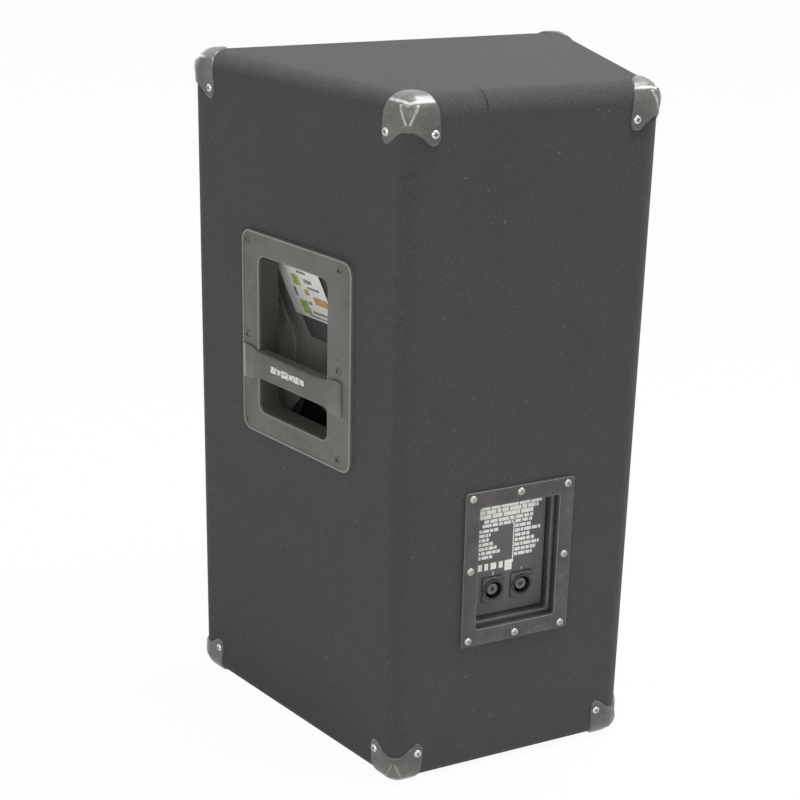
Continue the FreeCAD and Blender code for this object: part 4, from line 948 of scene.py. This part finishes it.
# The marks are seen from behind, so each row's left is the reader's left.
marks = bmesh.new()
for left, top, width, tall, lengths, gap in PRINT_ROWS:
    start, turn = left, 0
    while start + shortest_bar < left + width:
        length = min(lengths[turn % len(lengths)], left + width - start)
        middle = (-(start + length / 2) / 1000, (top - tall / 2) / 1000 - plate_z, print_level)
        box_work(marks, middle, (length / 2000, tall / 1800, print_half), on_rear)
        start += length + gap
        turn += 1
riding(linked("plate_print", finished_mesh("plate_print", marks, printed)))


def numeral(text, x):
    """A plain number printed on the recess floor."""
    writing = bpy.data.curves.new("numeral_" + text, "FONT")
    writing.body = text
    writing.size = numeral_size
    writing.align_x = "CENTER"
    writing.extrude = print_half
    holder = linked("numeral_writing", writing)
    mesh = plain_copy(holder)
    bpy.data.objects.remove(holder)
    for vertex in mesh.vertices:
        vertex.co = Vector((x - vertex.co.x, print_level + vertex.co.z, numeral_z + vertex.co.y))
    mesh.materials.clear()
    mesh.materials.append(printed.material)
    riding(linked("numeral_" + text, mesh))


numeral("1", -socket_off)
numeral("2", socket_off)

# The sockets' tones change with the distance from each one's axis: core, barrel and flange.
socket_plastic = Finish("socket_plastic", 0.28, specular=0.5)
off_x = socket_plastic.maths("ABSOLUTE", socket_plastic.along("X"))
off_x = socket_plastic.maths("SUBTRACT", off_x, socket_off)
off_z = socket_plastic.maths("SUBTRACT", socket_plastic.along("Z"), socket_z)
off_squared = socket_plastic.maths("ADD", socket_plastic.maths("POWER", off_x, 2),
                                   socket_plastic.maths("POWER", off_z, 2))
off_axis = socket_plastic.maths("SQRT", off_squared)
cloud = socket_plastic.noise(200, 3)
socket_tone = rgb(26, 26, 26)
for starts, full, dark, light in ((0.0026, 0.003, (100, 98, 95), (120, 118, 114)),
                                  (0.0063, 0.0066, (34, 34, 34), (50, 50, 49)),
                                  (barrel_radius, 0.0126, (74, 72, 70), (88, 86, 83))):
    beyond = socket_plastic.spread(off_axis, starts, full)
    next_tone = socket_plastic.tones(cloud, dark, light)
    socket_tone = socket_plastic.blend(beyond, socket_tone, next_tone)
socket_plastic.colour(socket_tone)
socket_plastic.rough(socket_plastic.spread(socket_plastic.noise(300, 3), 0.3, 0.7, 0.2, 0.4))
socket_plastic.bump(socket_plastic.noise(1500, 2), 0.00005, 0.6)
dress(socket_plastic, "socket_1", "socket_2")
contact_metal = speckled("contact_metal", 0.3, dark=(190, 176, 130), light=(222, 210, 170),
                         cloud=(900, 3), grain=(2400, 2), depth=0.00002, drawn=(0, 1),
                         metallic=1.0)
dress(contact_metal, "socket_contacts", "woofer_terminals")

dull_steel = speckled("dull_steel", 0.45, dark=(168, 167, 164), light=(212, 211, 208),
                      cloud=(700, 3), grain=(2600, 2), depth=0.00003, rough=(1500, 2, 0.34, 0.55),
                      metallic=0.8)
aged_black = speckled("aged_black", 0.4, dark=(70, 70, 67), light=(122, 122, 118), cloud=(600, 4),
                      grain=(2600, 2), depth=0.00003, drawn=(0.4, 0.66), metallic=0.5)
panel_seats = screw_seats("panel_screws")
facing_rear = 0.9
plate_seats = [(top, axis) for top, axis in panel_seats if abs(axis.y) > facing_rear]
handle_seats = [(top, axis) for top, axis in panel_seats if abs(axis.y) <= facing_rear]
screws("plate_screws", plate_seats, radius=0.0042, rise=0.0016, finish=dull_steel,
       node_name="panel_screws")
screws("handle_screws", handle_seats, radius=0.0042, rise=0.0016, finish=aged_black,
       node_name="panel_screws")
screws("socket_screws", screw_seats("socket_screws"), radius=0.0024, rise=0.001,
       finish=aged_black, node_name="socket_screws")

# ---------------------------------------------------------------- grille
# The front is covered by a perforated steel sheet, painted black, in a plain rim. Black foam
# lies behind it, and rubber spacers hold it off the baffle.

grille_low, grille_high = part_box("grille")
grille_middle = (grille_low.z + grille_high.z) / 2
pitch = 0.009
row_height = pitch * math.sqrt(3) / 2
hole_radius = pitch * 0.375
grille_sheet = 0.0012
sheet_inset = 0.0002
rim_width = 0.014
rim_wide, rim_tall = 1000 * (grille_high.x - grille_low.x), 1000 * (grille_high.z - grille_low.z)
rim_front = grille_low.y * 1000

# The rim's loops in mm: how much narrower than the whole, corner radius and depth behind the front.
RIM_LOOPS = ((0, 3, 1.8), (0, 3, 0.8), (0.6, 2.7, 0.2), (1.6, 2.2, 0), (27.2, 2.2, 0),
             (28, 1.8, 0.3), (28, 1.8, 1.8))

grille_paint = speckled("grille_paint", 0.5, dark=(44, 44, 45), light=(64, 64, 64),
                        cloud=(160, 4), grain=(1800, 2), depth=0.00004, strength=0.6,
                        rough=(90, 3, 0.4, 0.6), metallic=0.2, specular=0.4)


def hexagon(work, radius, y):
    turns = [math.radians(60 * step) for step in range(6)]
    return [work.verts.new((math.sin(turn) * radius, y, math.cos(turn) * radius)) for turn in turns]


cell_work = bmesh.new()
cell_edge = pitch / math.sqrt(3)
join_rings(cell_work, [hexagon(cell_work, cell_edge, 0), hexagon(cell_work, hole_radius, 0),
                       hexagon(cell_work, hole_radius, grille_sheet),
                       hexagon(cell_work, cell_edge, grille_sheet)])
cell_mesh = bpy.data.meshes.new("grille_cell")
cell_work.to_mesh(cell_mesh)
cell_work.free()
grille_cell = bpy.data.objects.new("grille_cell", cell_mesh)


def perforation_tree():
    """Rows of one cell, each other row set half a pitch along, joined into a sheet."""
    tree, given = new_tree("perforated_sheet", {
        "Cell": "Object", "Columns": "Int", "Rows": "Int", "Pitch": "Float", "Corner": "Vector",
        "Finish": "Material"})

    def maths(operation, first, second=0):
        feeds = {0: first, 1: second}
        return add_node(tree, "ShaderNodeMath", feeds, operation=operation).outputs[0]

    count = maths("MULTIPLY", given["Columns"], given["Rows"])
    index = add_node(tree, "GeometryNodeInputIndex").outputs[0]
    row = maths("FLOOR", maths("DIVIDE", maths("ADD", index, 0.5), given["Columns"]))
    column = maths("SUBTRACT", index, maths("MULTIPLY", row, given["Columns"]))
    shift = maths("MULTIPLY", maths("MODULO", row, 2), 0.5)
    along = maths("MULTIPLY", maths("ADD", column, shift), given["Pitch"])
    up = maths("MULTIPLY", maths("MULTIPLY", row, math.sqrt(3) / 2), given["Pitch"])
    spot = add_node(tree, "ShaderNodeCombineXYZ", {"X": along, "Z": up})
    moved = add_node(tree, "ShaderNodeVectorMath", {0: spot.outputs[0], 1: given["Corner"]},
                     operation="ADD")
    points = add_node(tree, "GeometryNodePoints", {"Count": count, "Position": moved.outputs[0]})
    stand_on_points(tree, given, points.outputs[0], given["Cell"])
    return tree


columns = int((grille_high.x - grille_low.x - 2 * rim_width + pitch) / pitch)
rows = int((grille_high.z - grille_low.z - 2 * rim_width + pitch) / row_height)
field_corner = Vector((-(columns - 0.5) * pitch / 2, grille_low.y + sheet_inset,
                       grille_middle - (rows - 1) * row_height / 2))
seed_mesh = bpy.data.meshes.new("grille_sheet")
seed_mesh.from_pydata([(0, 0, 0)], [], [])
sheet_inputs = {"Cell": grille_cell, "Columns": columns, "Rows": rows, "Pitch": pitch,
                "Corner": field_corner, "Finish": grille_paint.material}
sheet = made_plain("grille_sheet", seed_mesh, perforation_tree(), sheet_inputs, grille_cell)
riding(sheet)


def on_front(x, z, y):
    return Vector((x, y, z + grille_middle))


rim_rows = [(rim_wide - less, rim_tall - less, radius, rim_front + depth)
            for less, radius, depth in RIM_LOOPS]
rim_work = lofted(rim_rows, on_front, closed=True)
rim_mesh = finished_mesh("grille_rim", rim_work, grille_paint, angle=40)
rim = riding(linked("grille_rim", rim_mesh))
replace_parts(sheet, "grille")
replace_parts(rim, "grille")

foam = Finish("grille_foam", 0.95, specular=0.1)
foam_cells = foam.cells(420)
foam.colour(foam.tones(foam_cells, (12, 12, 12), (34, 34, 34), 0.1, 0.7))
foam.bump(foam_cells, 0.0012, 1.0)
dress(foam, "grille_foam")
rubber = speckled("rubber", 0.7, dark=(24, 24, 24), light=(44, 44, 43), cloud=(120, 4),
                  grain=(900, 3), depth=0.0001, strength=0.6, specular=0.3)
dress(rubber, "grille_spacers", "woofer_gasket")
screws("grille_screws", screw_seats("grille_screws"), radius=0.0042, rise=0.0016,
       finish=black_oxide, node_name="grille_screws")

# ---------------------------------------------------------------- woofer
# The 15 inch woofer stands behind the grille: a pressed steel basket, a paper cone with a
# rubber-treated cloth roll, and a ferrite magnet between steel plates.

basket_paint = speckled("basket_paint", 0.45, dark=(88, 88, 90), light=(112, 112, 114),
                        cloud=(120, 4), grain=(700, 3), depth=0.00015, strength=0.7, metallic=0.3,
                        specular=0.4)
dress(basket_paint, "woofer_basket")
paper = Finish("cone_paper", 0.85, specular=0.2)
paper_fibres = paper.noise(260, 5, paper.stretched((1, 3, 1), (0.3, 0.7, 0)))
paper.colour(paper.tones(paper_fibres, (28, 27, 26), (54, 52, 50), 0.35, 0.68))
paper.bump(paper_fibres, 0.0003, 0.8)
dress(paper, "woofer_cone", "woofer_dust_cap")


def threaded(name, roughness, dark, light, scale, direction, strength, metallic=0.0, specular=0.5):
    """A finish of fine straight threads or turns of wire, dark in the grooves between them."""
    made = Finish(name, roughness, metallic, specular)
    threads = made.bands(scale, direction)
    made.colour(made.blend(threads, rgb(*dark), rgb(*light)))
    made.bump(threads, 0.0002, strength)
    return made


def bending_sectors(node_name, finish, count=12):
    """A ring cut into sectors, each an object of its own in place of the CAD node."""
    low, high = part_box(node_name)
    hub = (low + high) / 2
    half = math.pi / count
    for number in range(count):
        middle = (2 * number + 1) * half
        work = bmesh.new()
        work.from_mesh(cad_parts[node_name].data)
        for turn, sign in ((middle - half, -1), (middle + half, 1)):
            cut = Vector((-math.sin(turn), 0, math.cos(turn))) * sign
            bmesh.ops.bisect_plane(work, geom=work.verts[:] + work.edges[:] + work.faces[:],
                                   plane_co=hub, plane_no=cut, clear_outer=True)
        name = "%s_sector_%d" % (node_name, number + 1)
        sector = linked(name, finished_mesh(name, work, finish))
        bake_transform(sector)
        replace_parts(sector, node_name)


roll_cloth = threaded("surround_cloth", 0.6, dark=(24, 24, 24), light=(40, 40, 40), scale=300,
                      direction="X", strength=0.6, specular=0.3)
bending_sectors("woofer_surround", roll_cloth)
spider_cloth = threaded("spider_cloth", 0.85, dark=(150, 112, 60), light=(196, 158, 98),
                        scale=380, direction="DIAGONAL", strength=0.6, specular=0.2)
bending_sectors("woofer_spider", spider_cloth)
copper = threaded("coil_copper", 0.35, dark=(150, 84, 44), light=(214, 140, 88), scale=700,
                  direction="Y", strength=0.8, metallic=1.0)
dress(copper, "woofer_voice_coil")
plated_steel = speckled("plated_steel", 0.35, dark=(150, 148, 140), light=(186, 184, 176),
                        cloud=(70, 4), grain=(1200, 2), depth=0.00004, strength=0.6,
                        drawn=(0.3, 0.7), rough=(140, 4, 0.25, 0.5), metallic=1.0)
dress(plated_steel, "woofer_top_plate", "woofer_back_plate", "driver_front_plate",
      "driver_top_plate")
ferrite = speckled("ferrite", 0.7, dark=(40, 39, 40), light=(66, 65, 66), cloud=(300, 4),
                   grain=(600, 4), depth=0.0002, strength=0.7, specular=0.4)
dress(ferrite, "woofer_magnet", "driver_magnet")
dress(black_oxide, "woofer_screws", "horn_screws", "driver_bolts")

# ---------------------------------------------------------------- horn and its driver
# A moulded horn flare is screwed to the baffle above the woofer, with a compression driver
# bolted to its throat and a titanium dome inside that.

horn_plastic = speckled("horn_plastic", 0.4, dark=(34, 34, 34), light=(50, 50, 50), cloud=(40, 4),
                        grain=(1000, 3), depth=0.0001, strength=0.7)
dress(horn_plastic, "horn_flare", "driver_rear_cap")
titanium = speckled("titanium", 0.3, dark=(158, 154, 150), light=(188, 184, 178), cloud=(200, 3),
                    grain=(1600, 2), depth=0.00003, drawn=(0, 1), metallic=1.0)
dress(titanium, "driver_diaphragm")
film = speckled("suspension_film", 0.35, dark=(168, 120, 50), light=(196, 150, 80),
                cloud=(260, 3), grain=(900, 2), depth=0.00003, drawn=(0, 1))
dress(film, "driver_suspension")

# ---------------------------------------------------------------- pole socket
# A pressed steel cup in the base takes a 35 mm pole. Its round flange is screwed under the
# bottom board, and its wall is worn where poles have gone in.

pole_steel = Finish("pole_steel", 0.4, metallic=0.9, specular=0.5)
pole_grain = pole_steel.noise(60, 4, pole_steel.stretched((1, 1, 6)))
pole_steel.colour(pole_steel.tones(pole_grain, (64, 64, 66), (112, 112, 112), 0.4, 0.66))
pole_steel.rough(pole_steel.spread(pole_grain, 0.3, 0.7, 0.3, 0.55))
pole_steel.bump(pole_grain, 0.0001, 0.5)
dress(pole_steel, "pole_socket")
dress(zinc, "pole_socket_screws")

# ---------------------------------------------------------------- crossover
# The passive crossover lies on four posts over the bottom board: a fibre board with two wound
# coils, film capacitors and a power resistor.

fibre_board = Finish("circuit_board", 0.45, specular=0.5)
track_edges = fibre_board.cells(90, feature="DISTANCE_TO_EDGE")
tracks = fibre_board.spread(track_edges, 0.05, 0.08)
fibre_board.colour(fibre_board.blend(tracks, rgb(150, 140, 80), rgb(44, 78, 48)))
fibre_board.bump(tracks, 0.0001, 0.6)
dress(fibre_board, "crossover_board")
component = Finish("component_body", 0.5, specular=0.4)
winding = component.bands(500, "Z")
wound = component.blend(winding, rgb(140, 78, 42), rgb(206, 132, 82))
wrapped = component.blend(component.noise(300, 3), rgb(150, 140, 60), rgb(186, 176, 92))
past_coils = component.spread(component.along("Y"), 0.0915, 0.0925)
component.colour(component.blend(past_coils, wound, wrapped))
component.bump(winding, 0.0001, 0.6)
dress(component, "crossover_components")
dress(zinc, "crossover_fixings")

# ---------------------------------------------------------------- wadding
# Pads of dark polyester wadding are stapled to the inner walls and under the top. They are
# soft, with a loose fibrous face, and nothing in them is stitched.

pad_grain = 0.0045
pad_softening = 10
pad_sink, pad_swell, pad_tuft = 0.0026, 0.0016, 0.0009
swells_per_metre, tufts_per_metre = 38, 170

wadding = Finish("wadding_fibre", 0.95, specular=0.1)
wad_fibres = wadding.noise(420, 5, roughness=0.75)
wadding.colour(wadding.tones(wad_fibres, (56, 55, 54), (98, 97, 95), 0.35, 0.68))
wadding.bump(wad_fibres, 0.003, 1.0)
wadding.bump(wadding.noise(90, 3), 0.002, 0.7)
wadding.shader.inputs["Sheen Weight"].default_value = 0.3


def wadding_pad(name, points):
    """A soft pad in the space of a CAD solid: its hull remeshed, smoothed and sunk unevenly."""
    work = bmesh.new()
    for spot in points:
        work.verts.new(spot)
    bmesh.ops.remove_doubles(work, verts=work.verts, dist=1e-5)
    bmesh.ops.convex_hull(work, input=work.verts)
    bmesh.ops.recalc_face_normals(work, faces=work.faces)
    mesh = bpy.data.meshes.new(name)
    work.to_mesh(mesh)
    work.free()
    holder = linked(name, mesh)
    remesh = holder.modifiers.new("even", "REMESH")
    remesh.mode = "VOXEL"
    remesh.voxel_size = pad_grain
    holder.modifiers.new("soften", "SMOOTH").iterations = pad_softening
    soft = plain_copy(holder)
    bpy.data.objects.remove(holder)
    sunk = []
    for vertex in soft.vertices:
        swell = noise.fractal(vertex.co * swells_per_metre, 1.0, 2.0, 4)
        tuft = noise.noise(vertex.co * tufts_per_metre)
        depth = pad_sink + pad_swell * swell + pad_tuft * tuft
        sunk.append(vertex.co - vertex.normal * depth)
    for vertex, spot in zip(soft.vertices, sunk):
        vertex.co = spot
    soft.shade_smooth()
    soft.materials.clear()
    soft.materials.append(wadding.material)
    return riding(linked(name, soft))


pads = [wadding_pad("wadding_pad_%d" % number, points)
        for number, points in enumerate(loose_solids("wadding"), start=1)]
for pad in pads:
    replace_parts(pad, "wadding")

# ---------------------------------------------------------------- inspection card
# A white printed card lies on the leaning face of the right pad, where it shows through the
# handle. It carries plain blocks of colour and grey rules.

card_low, card_high = (corner.z * 1000 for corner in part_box("inspection_card"))
card_lean = math.tan(math.radians(24))
card_foot, card_foot_height = -0.0805, 0.4322
card_clear = 0.0004
print_lift = 0.0002
card_half = 0.0001

# Each patch in mm: how far along the side, its height above the floor, and its width and height.
CARD_SHEET = [(-33, (card_low + card_high) / 2, 74, card_high - card_low)]
GREEN_BLOCKS = [(-43, 516, 13, 14), (-44, 482, 14, 17), (-14, 538, 12, 8)]
ORANGE_BLOCKS = [(-10, 495, 24, 10), (-31, 503, 8, 7)]
GREY_RULES = [(-20, 478, 26, 3), (-24, 472, 34, 2), (-28, 528, 16, 3), (-22, 518, 14, 5),
              (-58, 540, 10, 2), (-16, 510, 20, 3), (-52, 500, 4, 12), (-32, 489, 5, 4)]


def on_card(back, up, lift):
    """Places a point on the leaning card: along the side, its height and how far it stands off."""
    out = card_foot + (up - card_foot_height) * card_lean + card_clear + lift
    return side_origin + side_back * back + side_out * out + Vector((0, 0, up))


def card_patches(name, finish_name, dark, light, patches, lift):
    """Thin blocks on the card's face in one finish."""
    stock = speckled(finish_name, 0.6, dark=dark, light=light, cloud=(180, 4), grain=(700, 2),
                     depth=0.00004, drawn=(0.4, 0.62), specular=0.3)
    work = bmesh.new()
    for back, up, wide, tall in patches:
        half = (wide / 2000, tall / 2000, card_half)
        box_work(work, (back / 1000, up / 1000, lift), half, on_card)
    return riding(linked(name, finished_mesh(name, work, stock)))


sheet_of_card = card_patches("inspection_card_sheet", "card_white", dark=(248, 248, 244),
                             light=(255, 255, 253), patches=CARD_SHEET, lift=0.0)
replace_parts(sheet_of_card, "inspection_card")
card_patches("card_green", "card_green", dark=(160, 184, 84), light=(200, 212, 132),
             patches=GREEN_BLOCKS, lift=print_lift)
card_patches("card_orange", "card_orange", dark=(198, 158, 96), light=(222, 190, 140),
             patches=ORANGE_BLOCKS, lift=print_lift)
card_patches("card_rules", "card_grey", dark=(128, 124, 132), light=(176, 174, 178),
             patches=GREY_RULES, lift=print_lift)

# ---------------------------------------------------------------- inner wires
# Round two-core cables join the sockets, the crossover, the woofer and the horn's driver. They
# have grey soft sheaths, and one crosses behind the right handle.

sheath = speckled("wire_sheath", 0.5, dark=(128, 127, 124), light=(150, 149, 146), cloud=(150, 3),
                  grain=(900, 2), depth=0.00008, specular=0.4)
dress(sheath, "inner_wires")
